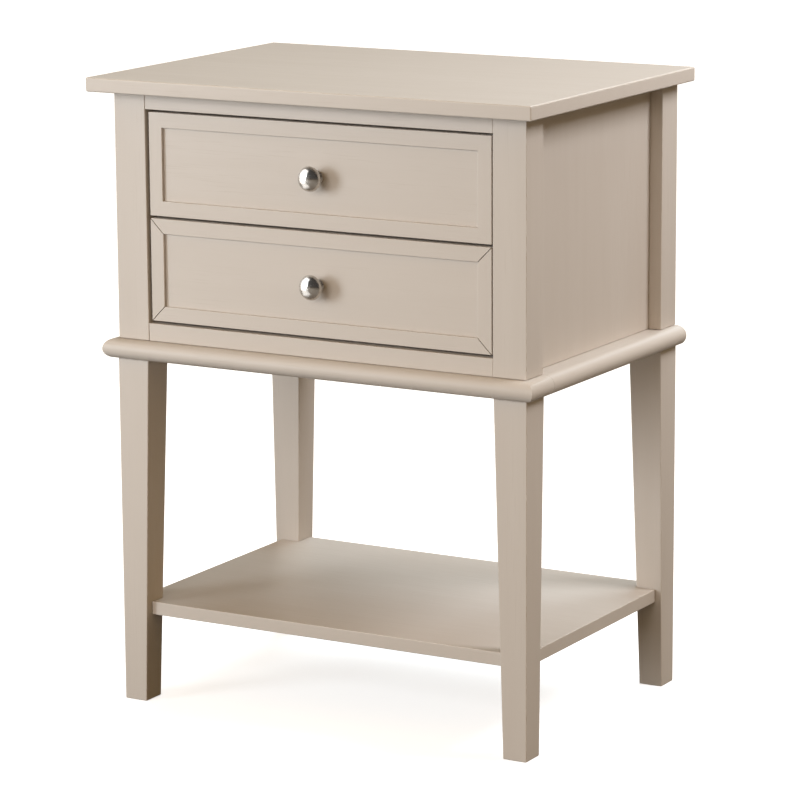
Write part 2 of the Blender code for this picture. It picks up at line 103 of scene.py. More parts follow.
# %% Camera
VIEW_YAW = math.radians(29.84)
VIEW_PITCH = math.radians(11.80)
VIEW_TILT = math.radians(-0.344)
VIEW_DISTANCE = 4.1827
VIEW_LENS = 166.51
AIM_BEHIND_MIDDLE = 0.0115
AIM_RIGHT = 0.0005
AIM_UP = -0.0167


def add_camera():
    back = Vector((
        math.sin(VIEW_YAW) * math.cos(VIEW_PITCH),
        -math.cos(VIEW_YAW) * math.cos(VIEW_PITCH),
        math.sin(VIEW_PITCH),
    ))
    level = Vector((math.cos(VIEW_YAW), math.sin(VIEW_YAW), 0))
    tilt = Matrix.Rotation(VIEW_TILT, 3, back)
    right = tilt @ level
    up = tilt @ back.cross(level)
    middle = (cad_low + cad_high) / 2 + Vector((0, AIM_BEHIND_MIDDLE, 0))
    camera = bpy.data.objects.new("Camera", bpy.data.cameras.new("Camera"))
    camera.data.lens = VIEW_LENS
    camera.data.clip_start = 0.1
    camera.data.clip_end = 100
    turned = Matrix((right, up, back)).transposed().to_4x4()
    place = middle + back * VIEW_DISTANCE + right * AIM_RIGHT + up * AIM_UP
    camera.matrix_world = Matrix.Translation(place) @ turned
    bpy.context.scene.collection.objects.link(camera)
    bpy.context.scene.camera = camera
    return camera


print("camera stands at", [round(value, 3) for value in add_camera().location])

# %% [markdown]
# ## Small helpers for node trees
# Finishes and Geometry Nodes are both made of nodes joined by links. Written out in full, each
# node takes several lines. One helper adds a node, sets its options and fills its inputs. An
# input may get a plain value, or the output of another node, and then the helper adds the link.
# Four more do the sums with numbers and with vectors.

# %% Node helpers
def add_node(tree, kind, inputs=None, **options):
    node = tree.nodes.new(kind)
    for name, value in options.items():
        setattr(node, name, value)
    for name, value in (inputs or {}).items():
        if isinstance(value, bpy.types.NodeSocket):
            tree.links.new(value, node.inputs[name])
        else:
            node.inputs[name].default_value = value
    return node


def maths(tree, operation, first, second=0.0, third=0.0):
    """One sum in a node tree. The numbers may be plain values or outputs."""
    values = {0: first, 1: second, 2: third}
    return add_node(tree, "ShaderNodeMath", values, operation=operation).outputs[0]


def vector_maths(tree, operation, first, second=(0, 0, 0)):
    values = {0: first, 1: second}
    return add_node(tree, "ShaderNodeVectorMath", values, operation=operation).outputs[0]


def split(tree, vector):
    """The three numbers of a vector."""
    return add_node(tree, "ShaderNodeSeparateXYZ", {0: vector}).outputs


def join(tree, x, y, z):
    return add_node(tree, "ShaderNodeCombineXYZ", {0: x, 1: y, 2: z}).outputs[0]


print("node helpers ready")

# %% [markdown]
# ## Finishes
# Everything outside is covered with a warm grey-beige satin paint. It is thin enough for a little
# of the wood's grain to show through as fine strokes along each board. A flat colour would look
# like plastic, so the colour, the gloss and a shallow bump all follow one stretched noise. The
# noise is stretched by a Mapping node: it changes slowly along the board and fast across it.

# %% Starting a finish
GRAIN_LENGTHS = {"fine": (22.0, 900.0), "broad": (3.0, 45.0)}
NOISE_SPAN = (0.3, 0.7)
BOARD_SHIFT = 3.7


def start_finish(name):
    material = bpy.data.materials.new(name)
    material.use_nodes = True
    tree = material.node_tree
    return material, tree, tree.nodes["Principled BSDF"]


def set_shader(shader, **values):
    """Sets the shader's own sockets. An underscore in a name stands for a space."""
    for name, value in values.items():
        shader.inputs[name.replace("_", " ")].default_value = value


def read_number(tree, attribute):
    """A number stored on the piece's faces."""
    node = add_node(tree, "ShaderNodeAttribute", attribute_name=attribute)
    return node.outputs["Fac"]


def object_place(tree):
    """Where a point is on the nightstand, in metres."""
    return add_node(tree, "ShaderNodeTexCoord").outputs["Object"]


def noise(tree, place, scale, detail):
    inputs = {"Vector": place, "Scale": scale, "Detail": detail}
    return add_node(tree, "ShaderNodeTexNoise", inputs).outputs[0]


def grain(tree, axis, kind, detail):
    """Noise stretched along one axis and different on each board. It hardly leaves NOISE_SPAN."""
    along, across = GRAIN_LENGTHS[kind]
    scale = [across] * 3
    scale["XYZ".index(axis)] = along
    stretched = add_node(tree, "ShaderNodeMapping", {"Vector": object_place(tree), "Scale": scale})
    board = maths(tree, "MULTIPLY", read_number(tree, "board_number"), BOARD_SHIFT)
    inputs = {"Vector": stretched.outputs[0], "W": board, "Scale": 1.0, "Detail": detail}
    return add_node(tree, "ShaderNodeTexNoise", inputs, noise_dimensions="4D").outputs[0]


def spread(tree, value, low, high, to_low, to_high):
    """Carries a number from one range over to another."""
    inputs = {"Value": value, "From Min": low, "From Max": high, "To Min": to_low, "To Max": to_high}
    return add_node(tree, "ShaderNodeMapRange", inputs).outputs[0]


def mix_colours(tree, share, first, second):
    """The first colour where the share is 0, the second where it is 1."""
    inputs = {"Factor": share, "A": first, "B": second}
    node = tree.nodes.new("ShaderNodeMix")
    node.data_type = "RGBA"
    sockets = {s.name: s for s in node.inputs if s.enabled}
    for name, value in inputs.items():
        if isinstance(value, bpy.types.NodeSocket):
            tree.links.new(value, sockets[name])
        else:
            sockets[name].default_value = value
    return next(s for s in node.outputs if s.enabled)


def bump(tree, shader, height, depth, strength=1.0):
    """A shallow relief: depth is in metres."""
    inputs = {"Height": height, "Distance": depth, "Strength": strength}
    tree.links.new(add_node(tree, "ShaderNodeBump", inputs).outputs[0], shader.inputs["Normal"])


print("finish helpers ready")

# %% [markdown]
# ### Satin paint
# Three things are layered here. Broad, soft clouds of a slightly different tone run along the
# board. Fine strokes mark where the paint sinks into the grain, so they are a little darker and
# a little lower. Along the rounded edges the paint is rubbed thin and smooth, so those strips are
# glossier in patches. They are also painted lighter there: partly worn paint, partly a painted
# highlight where the edges catch the light. The grain runs along X, Y or Z, so there is one paint for
# each.

# %% Paint
PAINT = (0.590, 0.528, 0.468, 1)
PAINT_IN_GRAIN = (0.520, 0.455, 0.388, 1)
PAINT_CLOUD = (0.610, 0.550, 0.492, 1)
# The lighter colour of the rounded edges: paint rubbed thin, and a painted highlight where the edges
# catch the light.
PAINT_RUBBED_AND_HIGHLIGHT = (0.660, 0.600, 0.535, 1)
PAINT_GRAIN_DEPTH = 0.00004
PAINT_ROUGHNESS = (0.40, 0.50)
PAINT_SHINE = 0.38
STROKES_RISE = (0.56, 0.70)
STROKE_STRENGTH = 0.40
STROKES_COME_AND_GO = (0.42, 0.62, 0.1, 1.0)
RUBBING_AND_HIGHLIGHT_COME_AND_GO = (0.4, 0.6, 0.1, 0.6)
RUBBED_GLOSS = 0.15


def make_paint(axis):
    material, tree, shader = start_finish(f"satin_paint_grain_{axis}")
    fine = grain(tree, axis, "fine", 3.0)
    broad = grain(tree, axis, "broad", 2.0)
    strokes = spread(tree, fine, *STROKES_RISE, 0.0, STROKE_STRENGTH)
    shown = maths(tree, "MULTIPLY", strokes, spread(tree, broad, *STROKES_COME_AND_GO))
    clouds = spread(tree, broad, *NOISE_SPAN, 0.0, 1.0)
    colour = mix_colours(tree, clouds, PAINT, PAINT_CLOUD)
    colour = mix_colours(tree, shown, colour, PAINT_IN_GRAIN)
    # Lighter patches along the rounded edges: partly worn paint, partly a painted highlight.
    patches = spread(tree, broad, *RUBBING_AND_HIGHLIGHT_COME_AND_GO)
    rubbed_and_highlit = maths(tree, "MULTIPLY", read_number(tree, "edge_wear"), patches)
    colour = mix_colours(tree, rubbed_and_highlit, colour, PAINT_RUBBED_AND_HIGHLIGHT)
    tree.links.new(colour, shader.inputs["Base Color"])
    rough = spread(tree, fine, *NOISE_SPAN, *PAINT_ROUGHNESS)
    rough = maths(tree, "SUBTRACT", rough, maths(tree, "MULTIPLY", rubbed_and_highlit, RUBBED_GLOSS))
    tree.links.new(rough, shader.inputs["Roughness"])
    bump(tree, shader, maths(tree, "SUBTRACT", fine, shown), PAINT_GRAIN_DEPTH)
    set_shader(shader, Specular_IOR_Level=PAINT_SHINE)
    return material


paint = {axis: make_paint(axis) for axis in "XYZ"}
print("paints:", [material.name for material in paint.values()])

# %% [markdown]
# ### Bare wood inside
# The drawer boxes and hidden rails are clear-sealed light hardwood. Its rings show as soft dark
# lines, a few millimetres apart, that wander along the board, with short pores between them.
# A Wave texture could draw rings, but too evenly. Here the broad noise is folded to and fro with
# a Ping-Pong sum, like the height lines of a map, so the rings wander as real ones do.

# %% Bare wood
BARE_LIGHT = (0.640, 0.490, 0.325, 1)
BARE_DARK = (0.500, 0.350, 0.205, 1)
BARE_PORE = (0.360, 0.235, 0.130, 1)
BARE_ROUGHNESS = (0.48, 0.62)
BARE_SHINE = 0.35
RING_SPACING = 0.007
RING_REACH = 0.16
RING_STRENGTH = 0.55
PORES_RISE = (0.58, 0.72)
PORE_STRENGTH = 0.8
PORE_DEPTH = 0.00006


def make_bare_wood(axis):
    material, tree, shader = start_finish(f"bare_wood_grain_{axis}")
    fine = grain(tree, axis, "fine", 4.0)
    broad = grain(tree, axis, "broad", 3.0)
    rings = maths(tree, "MULTIPLY", broad, 1.0 / RING_SPACING * RING_REACH)
    rings = maths(tree, "PINGPONG", rings, 1.0)
    rings = maths(tree, "MULTIPLY", rings, RING_STRENGTH)
    colour = mix_colours(tree, rings, BARE_LIGHT, BARE_DARK)
    pores = spread(tree, fine, *PORES_RISE, 0.0, PORE_STRENGTH)
    colour = mix_colours(tree, pores, colour, BARE_PORE)
    tree.links.new(colour, shader.inputs["Base Color"])
    rough = spread(tree, fine, *NOISE_SPAN, *BARE_ROUGHNESS)
    tree.links.new(rough, shader.inputs["Roughness"])
    bump(tree, shader, maths(tree, "SUBTRACT", fine, pores), PORE_DEPTH)
    set_shader(shader, Specular_IOR_Level=BARE_SHINE)
    return material


bare_wood = {axis: make_bare_wood(axis) for axis in "XYZ"}
print("bare woods:", [material.name for material in bare_wood.values()])

# %% [markdown]
# ### Fibre board for the back
# The back is a thin sheet of pressed fibres, painted once. It has no grain at all, only small
# flecks in every direction, so a plain noise does, with nothing stretched.

# %% Fibre board
FIBRE_LIGHT = (0.545, 0.470, 0.390, 1)
FIBRE_DARK = (0.500, 0.425, 0.345, 1)
FIBRE_FLECK = (0.400, 0.330, 0.260, 1)
FIBRE_ROUGHNESS = (0.60, 0.75)
FIBRE_CLOUD_SCALE = 9.0
FIBRE_CLOUDS_RISE = (0.35, 0.65)
FLECK_SCALE = 700.0
FLECKS_RISE = (0.55, 0.75)
FLECK_STRENGTH = 0.6
FLECK_DEPTH = 0.00008


def make_fibre_board():
    material, tree, shader = start_finish("painted_fibre_board")
    place = object_place(tree)
    flecks = noise(tree, place, FLECK_SCALE, 4.0)
    clouds = spread(tree, noise(tree, place, FIBRE_CLOUD_SCALE, 3.0), *FIBRE_CLOUDS_RISE, 0.0, 1.0)
    colour = mix_colours(tree, clouds, FIBRE_LIGHT, FIBRE_DARK)
    dark_flecks = spread(tree, flecks, *FLECKS_RISE, 0.0, FLECK_STRENGTH)
    colour = mix_colours(tree, dark_flecks, colour, FIBRE_FLECK)
    tree.links.new(colour, shader.inputs["Base Color"])
    rough = spread(tree, flecks, *NOISE_SPAN, *FIBRE_ROUGHNESS)
    tree.links.new(rough, shader.inputs["Roughness"])
    bump(tree, shader, flecks, FLECK_DEPTH)
    return material


fibre_board = make_fibre_board()
print("board for the back:", fibre_board.name)

# %% [markdown]
# ### Satin nickel
# The knobs are turned on a lathe and plated, then brushed while they spin, which leaves rings
# round their middle. A Wave texture of rings gives that, once a Mapping node has moved its centre
# onto the knob's own axis. Brushed rings also smear each reflection across themselves, into a
# band through the middle. The Anisotropic socket does that, with a tangent that runs round.

# %% Nickel
NICKEL_DARK = (0.60, 0.575, 0.545, 1)
NICKEL_LIGHT = (0.70, 0.675, 0.64, 1)
NICKEL_ROUGHNESS = (0.15, 0.21)
SMUDGE_SCALE = 160.0
BRUSH_RING_SPACING = 0.0003
BRUSH_RING_BENDS = {"Distortion": 1.5, "Detail": 2.0, "Detail Scale": 0.4}
BRUSH_RING_ROUGHNESS = 0.04
BRUSH_RING_DEPTH = 0.000004
BRUSHED = 0.85
QUARTER_TURN = 0.25
WAVES_IN_ONE = 20


def make_nickel(name, centre):
    material, tree, shader = start_finish(name)
    moved = {"Vector": object_place(tree), "Location": -centre}
    centred = add_node(tree, "ShaderNodeMapping", moved).outputs[0]
    scale = 2 * math.pi / (WAVES_IN_ONE * BRUSH_RING_SPACING)
    inputs = {"Vector": centred, "Scale": scale, **BRUSH_RING_BENDS}
    wave = add_node(tree, "ShaderNodeTexWave", inputs, wave_type="RINGS", rings_direction="Y")
    rings = wave.outputs["Fac"]
    smudges = noise(tree, centred, SMUDGE_SCALE, 3.0)
    colour = mix_colours(tree, smudges, NICKEL_DARK, NICKEL_LIGHT)
    tree.links.new(colour, shader.inputs["Base Color"])
    rough = spread(tree, smudges, *NOISE_SPAN, *NICKEL_ROUGHNESS)
    rough = maths(tree, "ADD", rough, maths(tree, "MULTIPLY", rings, BRUSH_RING_ROUGHNESS))
    tree.links.new(rough, shader.inputs["Roughness"])
    bump(tree, shader, rings, BRUSH_RING_DEPTH)
    around = vector_maths(tree, "CROSS_PRODUCT", centred, (0, 1, 0))
    tree.links.new(vector_maths(tree, "NORMALIZE", around), shader.inputs["Tangent"])
    set_shader(shader, Metallic=1.0, Anisotropic=BRUSHED, Anisotropic_Rotation=QUARTER_TURN)
    return material


print("brushed rings are", BRUSH_RING_SPACING * 1000, "mm apart")

# %% [markdown]
# ### Zinc plate and steel
# Slides and screws are plated with zinc, a paler and cloudier metal. Rolling leaves fine marks
# along the sheet. The same few nodes make the sheet, the screws and the polished balls, which
# differ only in their two tones and in how rough they are.

# %% Zinc
ZINC_CLOUD_SCALE = 120.0
ZINC_CLOUDS_RISE = (0.25, 0.75, 0.2, 0.8)
ROLLING_SCALE = (3000.0, 60.0, 3000.0)
ROLLING_DEPTH = 0.0000015
ZINC_FINISHES = {
    "zinc_sheet": ((0.56, 0.57, 0.58, 1), (0.68, 0.69, 0.70, 1), (0.28, 0.42)),
    "zinc_screw": ((0.50, 0.49, 0.47, 1), (0.62, 0.61, 0.59, 1), (0.24, 0.36)),
    "ball_steel": ((0.66, 0.66, 0.66, 1), (0.74, 0.74, 0.74, 1), (0.10, 0.18)),
}


def make_zinc(name):
    dark, light, roughness = ZINC_FINISHES[name]
    material, tree, shader = start_finish(name)
    place = object_place(tree)
    clouds = spread(tree, noise(tree, place, ZINC_CLOUD_SCALE, 5.0), *ZINC_CLOUDS_RISE)
    stretched = add_node(tree, "ShaderNodeMapping", {"Vector": place, "Scale": ROLLING_SCALE})
    marks = noise(tree, stretched.outputs[0], 1.0, 2.0)
    tree.links.new(mix_colours(tree, clouds, dark, light), shader.inputs["Base Color"])
    tree.links.new(spread(tree, marks, *NOISE_SPAN, *roughness), shader.inputs["Roughness"])
    bump(tree, shader, marks, ROLLING_DEPTH)
    set_shader(shader, Metallic=1.0)
    return material


zinc_sheet = make_zinc("zinc_sheet")
zinc_screw = make_zinc("zinc_screw")
ball_steel = make_zinc("ball_steel")
print("metals:", zinc_sheet.name, zinc_screw.name, ball_steel.name)

# %% [markdown]
# ## From a blank to a finished board
# A joiner saws a blank, planes off its sharp edges, then ploughs grooves and drills holes. The
# same order works here. A blank is a box in a bmesh, its edges are rounded with a bevel, and the
# grooves and holes are cut with Boolean modifiers. Rounding first keeps every groove crisp. Each
# face stores two numbers for the paint: whether it is a rounded edge, which the paint lightens as
# wear and as a painted highlight, and which board it is on.

# %% Blanks and rounded edges
SHARP = math.radians(35)
EDGE_STEPS = 3
board_count = 0


def blank(low, high):
    """A box between two corners, ready to be worked."""
    shape = bmesh.new()
    bmesh.ops.create_cube(shape, size=1.0)
    size = high - low
    for corner in shape.verts:
        corner.co = [low[i] + size[i] * (corner.co[i] + 0.5) for i in range(3)]
    return shape


def prism(outline, axis, start, end):
    """An outline carried straight along one axis. It holds the other two coordinates in order."""
    place = "XYZ".index(axis)
    shape = bmesh.new()
    rings = []
    for distance in (start, end):
        ring = [(*point[:place], distance, *point[place:]) for point in outline]
        rings.append([shape.verts.new(point) for point in ring])
    for ring in rings:
        shape.faces.new(ring)
    next_start, next_end = (ring[1:] + ring[:1] for ring in rings)
    for corners in zip(*rings, next_end, next_start):
        shape.faces.new(corners)
    bmesh.ops.recalc_face_normals(shape, faces=shape.faces)
    return shape


def ease_edges(shape, radius, steps=EDGE_STEPS, choose=None):
    """Rounds the outward edges, or the chosen ones among them, and marks them for wear and a painted
    highlight.
    """
    worn_and_highlit = shape.faces.layers.float.get("edge_wear") or shape.faces.layers.float.new("edge_wear")
    edges = [
        edge for edge in shape.edges
        if edge.is_convex and edge.calc_face_angle(0) > SHARP and (choose is None or choose(edge))
    ]
    made = bmesh.ops.bevel(
        shape, geom=edges, offset=radius, offset_type="OFFSET", segments=steps,
        profile=0.5, affect="EDGES", clamp_overlap=True,
    )
    # The rounded faces are marked, and the paint makes them lighter: partly wear, partly a painted
    # highlight.
    for face in made["faces"]:
        face[worn_and_highlit] = 1.0
    return shape


def lay_down(shape, quarter_turns, place):
    """Lays a piece made upright along Y, and moves it into its place."""
    turned = Matrix.Rotation(quarter_turns * math.pi / 2, 3, "X")
    bmesh.ops.rotate(shape, verts=shape.verts, matrix=turned)
    bmesh.ops.translate(shape, verts=shape.verts, vec=place)


test = ease_edges(blank(Vector((0, 0, 0)), Vector((0.1, 0.02, 0.01))), 0.001)
print("a rounded blank has", len(test.faces), "faces")
test.free()

# %% Finishing a piece
SMOOTH_UP_TO = math.radians(50)


def shape_to_mesh(shape, name):
    mesh = bpy.data.meshes.new(name)
    shape.to_mesh(mesh)
    shape.free()
    return mesh


def plain_mesh(carrier, name):
    """What an object's modifiers make of it, as a mesh of its own. The object is then removed."""
    depsgraph = bpy.context.evaluated_depsgraph_get()
    made = bpy.data.meshes.new_from_object(carrier.evaluated_get(depsgraph), depsgraph=depsgraph)
    made.name = name
    bpy.data.objects.remove(carrier)
    return made


def carry(mesh, name):
    carrier = bpy.data.objects.new(name, mesh)
    bpy.context.scene.collection.objects.link(carrier)
    return carrier


def cut_away(mesh, name, cutters):
    """What is left of a mesh once the cutters are taken out of it. They are then removed."""
    carrier = carry(mesh, f"{name}_carrier")
    for cutter in cutters:
        cut = carrier.modifiers.new("cut", "BOOLEAN")
        cut.operation = "DIFFERENCE"
        cut.solver = "EXACT"
        cut.object = cutter
    left = plain_mesh(carrier, name)
    for cutter in cutters:
        bpy.data.objects.remove(cutter)
    return left


def shade(mesh):
    """Smooth shading, but crisp wherever the surface turns sharply."""
    mesh.shade_smooth()
    mesh.set_sharp_from_angle(angle=SMOOTH_UP_TO)


def finish_piece(name, mesh, material, body, stands_for=(), cutters=()):
    """Cuts, shades and paints a piece, then says what it moves with and hides the parts it stands for."""
    global board_count
    board_count += 1
    shade(mesh)
    if cutters:
        mesh = cut_away(mesh, name, cutters)
        shade(mesh)
    carrier = carry(mesh, f"{name}_carrier")
    even = carrier.modifiers.new("even_normals", "WEIGHTED_NORMAL")
    even.keep_sharp = True
    mesh = plain_mesh(carrier, name)
    mesh.materials.clear()
    mesh.materials.append(material)
    number = mesh.attributes.new("board_number", "FLOAT", "FACE")
    number.data.foreach_set("value", [float(board_count)] * len(mesh.polygons))
    piece = carry(mesh, name)
    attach(piece, body)
    if stands_for:
        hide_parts(*stands_for)
    return piece


def body_of_node(node):
    return frame["nodes"][node]["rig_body"]


print("a piece takes its body from the node it stands for, such as", body_of_node("upper_knob"))

# %% [markdown]
# ## Geometry Nodes helpers
# Some shapes follow a rule: a tapered leg, a board with a half-round edge, anything turned on a
# lathe, and rows of balls or screws. A Geometry Nodes tree states such a rule once, with named
# inputs for its sizes. These helpers make a tree, fill its inputs and keep the mesh it makes.

# %% Tree helpers
SAME_POINT = 0.000001


def new_tree(name, sizes):
    """A tree with one geometry in, one out, and a named input for each size."""
    tree = bpy.data.node_groups.new(name, "GeometryNodeTree")
    tree.interface.new_socket("Geometry", in_out="INPUT", socket_type="NodeSocketGeometry")
    for label, kind in sizes.items():
        tree.interface.new_socket(label, in_out="INPUT", socket_type=f"NodeSocket{kind}")
    tree.interface.new_socket("Geometry", in_out="OUTPUT", socket_type="NodeSocketGeometry")
    return tree, tree.nodes.new("NodeGroupInput").outputs


def end_tree(tree, geometry):
    """Realize Instances and Set Material close each tree."""
    real = add_node(tree, "GeometryNodeRealizeInstances", {"Geometry": geometry})
    inputs = {"Geometry": real.outputs[0], "Material": tree_coat(tree)}
    coat = add_node(tree, "GeometryNodeSetMaterial", inputs)
    out = tree.nodes.new("NodeGroupOutput")
    tree.links.new(coat.outputs[0], out.inputs["Geometry"])


def tree_coat(tree):
    """The material input that every tree here has."""
    group = next(node for node in tree.nodes if node.bl_idname == "NodeGroupInput")
    return group.outputs["Coat"]


def ringed_cube(tree, steps):
    """A cube cut into rings up its height, and where each of its points is."""
    rings = maths(tree, "ADD", steps, 1.0)
    inputs = {"Size": (1.0, 1.0, 1.0), "Vertices Z": rings}
    cube = add_node(tree, "GeometryNodeMeshCube", inputs).outputs["Mesh"]
    return cube, add_node(tree, "GeometryNodeInputPosition").outputs[0]


def move_points(tree, geometry, place):
    inputs = {"Geometry": geometry, "Position": place}
    return add_node(tree, "GeometryNodeSetPosition", inputs).outputs[0]


def run_tree(tree, values, start=None):
    """Runs a tree on a mesh, or on nothing, and gives back the plain mesh it makes."""
    carrier = carry(start or bpy.data.meshes.new("start"), f"{tree.name}_carrier")
    modifier = carrier.modifiers.new(tree.name, "NODES")
    modifier.node_group = tree
    for item in tree.interface.items_tree:
        if item.in_out == "INPUT" and item.name in values:
            modifier[item.identifier] = values[item.name]
    return plain_mesh(carrier, tree.name)


def tidy_shape(mesh):
    """The mesh as a bmesh with its doubles merged and its faces pointing out."""
    shape = bmesh.new()
    shape.from_mesh(mesh)
    bmesh.ops.remove_doubles(shape, verts=shape.verts, dist=SAME_POINT)
    bmesh.ops.recalc_face_normals(shape, faces=shape.faces)
    return shape


print("tree helpers ready")

# %% [markdown]
# ## The boards
# Most of the nightstand is flat boards: the top, the posts, the panels, the rails, the drawer
# fronts and the boxes. The table below gives each one its grain direction, how far its edges are
# rounded and its finish. The sizes come from the working model, so every board fits.

# %% Table of boards
TOP_EDGE = 0.0018
POST_EDGE = 0.0008
FINE_EDGE = 0.0005
BOX_EDGE = 0.0016
SIDES = ("left", "right")
ENDS = ("front", "rear")
DRAWERS = ("upper", "lower")

PAINTED = ("painted_wood", paint)
BARE = ("bare_wood", bare_wood)
BOARDS = {
    "top_board": ("X", TOP_EDGE, PAINTED),
    "top_front_rail": ("X", FINE_EDGE, PAINTED),
    "bottom_front_rail": ("X", FINE_EDGE, PAINTED),
    "top_rear_rail": ("X", FINE_EDGE, BARE),
    "base_rear_board": ("X", FINE_EDGE, PAINTED),
    "dust_board": ("X", FINE_EDGE, BARE),
}
for side in SIDES:
    BOARDS[f"side_panel_{side}"] = ("Z", FINE_EDGE, PAINTED)
    for end in ENDS:
        BOARDS[f"post_{end}_{side}"] = ("Z", POST_EDGE, PAINTED)
for drawer in DRAWERS:
    BOARDS[f"{drawer}_front_board"] = ("X", FINE_EDGE, PAINTED)
    BOARDS[f"{drawer}_box_back"] = ("X", BOX_EDGE, BARE)
    BOARDS[f"{drawer}_box_bottom"] = ("X", FINE_EDGE, BARE)
    for side in SIDES:
        BOARDS[f"{drawer}_box_side_{side}"] = ("Y", BOX_EDGE, BARE)
print(len(BOARDS), "boards in the table")

# %% [markdown]
# ### Grooves and holes
# Panels and drawer bottoms sit in grooves, and the legs and knobs are held by bolts and screws.
# A groove is the shape of what it houses, a hair wider and much longer. A hole is a cylinder round
# its bolt. Both are made as cutters from the model's own boxes, and removed after the cut.

# %% Cutters
HAIR = 0.0003
RUN_OUT = 0.02
HOLE_STEPS = 32
KNOB_SCREW_RADIUS = 0.0020


def groove_cutter(node, axis):
    low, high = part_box(node)
    grow = Vector((HAIR, HAIR, HAIR))
    grow["XYZ".index(axis)] = RUN_OUT
    return carry(shape_to_mesh(blank(low - grow, high + grow), "groove_cutter"), "groove_cutter")


def hole_cutter(node, axis, radius=None):
    """A round cutter along a bolt or screw, as wide as it is unless a radius is given."""
    low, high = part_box(node)
    middle = (low + high) / 2
    place = "XYZ".index(axis)
    radius = radius or (high[place - 1] - low[place - 1]) / 2
    shape = bmesh.new()
    bmesh.ops.create_cone(
        shape, cap_ends=True, segments=HOLE_STEPS, radius1=radius + HAIR, radius2=radius + HAIR,
        depth=high[place] - low[place] + 4 * HAIR,
    )
    lay_down(shape, 1 if axis == "Y" else 0, middle)
    return carry(shape_to_mesh(shape, "hole_cutter"), "hole_cutter")


def cutters_for(node):
    """The grooves and holes that a board needs, from the pieces that it houses."""
    parts = node.split("_")
    side, end, drawer = parts[-1], parts[1] if len(parts) > 2 else "", parts[0]
    cutters = []
    if node.startswith("post_"):
        cutters.append(groove_cutter(f"side_panel_{side}", "Z"))
        cutters.append(hole_cutter(f"leg_bolt_{end}_{side}", "Z"))
        if end == "rear":
            cutters.append(groove_cutter("back_panel", "Z"))
    if "_box_side_" in node:
        cutters.append(groove_cutter(f"{drawer}_box_bottom", "Y"))
    if node.endswith("_box_back"):
        cutters.append(groove_cutter(f"{drawer}_box_bottom", "X"))
    if node.endswith("_front_board"):
        cutters.append(groove_cutter(f"{drawer}_box_bottom", "X"))
        cutters.append(hole_cutter(f"{drawer}_knob_screw", "Y", KNOB_SCREW_RADIUS))
    return cutters


print("holes have", HOLE_STEPS, "sides")

# %% Make the boards
def make_board(node):
    axis, radius, (slot, finish) = BOARDS[node]
    shape = ease_edges(blank(*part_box(node)), radius)
    cutters = cutters_for(node)
    mesh = shape_to_mesh(shape, node)
    name, body = f"finished_{node}", body_of_node(node)
    return finish_piece(name, mesh, finish[axis], body, [node], cutters)


boards = {node: make_board(node) for node in BOARDS}
print(len(boards), "boards made,", sum(len(b.data.polygons) for b in boards.values()), "faces")

# %% Back panel
def make_back_panel():
    mesh = shape_to_mesh(ease_edges(blank(*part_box("back_panel")), FINE_EDGE), "back_panel")
    return finish_piece("finished_back_panel", mesh, fibre_board, "case", ["back_panel"])


print("back panel faces:", len(make_back_panel().data.polygons))

# %% [markdown]
# ## The base frame's half-round edge
# Between the case and the legs lies a frame of flat boards whose outer edge is fully rounded. It
# could be swept with a profile curve, but a swept profile gets thin where it turns a corner. Here
# the rule is stated point by point: a tall grid of rings round the board, and each ring moves out
# by the cosine of its angle and up by the sine. The corner then comes out as a true mitre.

# %% Half-round board tree
def make_half_round_tree():
    sizes = {
        "Low": "Vector", "High": "Vector", "Steps": "Int",
        "Round Left": "Float", "Round Right": "Float", "Round Front": "Float", "Coat": "Material",
    }
    tree, given = new_tree("half_round_board", sizes)
    body, place = ringed_cube(tree, given["Steps"])
    spot = split(tree, place)
    size = vector_maths(tree, "SUBTRACT", given["High"], given["Low"])
    middle = vector_maths(tree, "ADD", given["High"], given["Low"])
    middle = vector_maths(tree, "MULTIPLY", middle, (0.5, 0.5, 0.5))
    flat = split(tree, vector_maths(tree, "MULTIPLY", place, size))
    radius = maths(tree, "MULTIPLY", split(tree, size)[2], 0.5)
    angle = maths(tree, "MULTIPLY", spot[2], math.pi)
    reach = maths(tree, "MULTIPLY", radius, maths(tree, "COSINE", angle))
    inward = maths(tree, "SUBTRACT", radius, reach)

    def shift(compare, across, rounded):
        """How far the points on one side move in, if that side is rounded."""
        on_side = maths(tree, compare, across, 0.0)
        return maths(tree, "MULTIPLY", maths(tree, "MULTIPLY", on_side, rounded), inward)

    x = maths(tree, "ADD", flat[0], shift("LESS_THAN", spot[0], given["Round Left"]))
    x = maths(tree, "SUBTRACT", x, shift("GREATER_THAN", spot[0], given["Round Right"]))
    y = maths(tree, "ADD", flat[1], shift("LESS_THAN", spot[1], given["Round Front"]))
    z = maths(tree, "MULTIPLY", radius, maths(tree, "SINE", angle))
    new_place = vector_maths(tree, "ADD", join(tree, x, y, z), middle)
    end_tree(tree, move_points(tree, body, new_place))
    return tree


half_round_tree = make_half_round_tree()
print(half_round_tree.name, "has", len(half_round_tree.nodes), "nodes")

# %% Base boards
HALF_ROUND_STEPS = 20
BASE_JOINT_EDGE = 0.0010
BASE_BOARDS = {
    "base_front_board": (1.0, 1.0, 1.0, "X"),
    "base_side_board_left": (1.0, 0.0, 0.0, "Y"),
    "base_side_board_right": (0.0, 1.0, 0.0, "Y"),
}


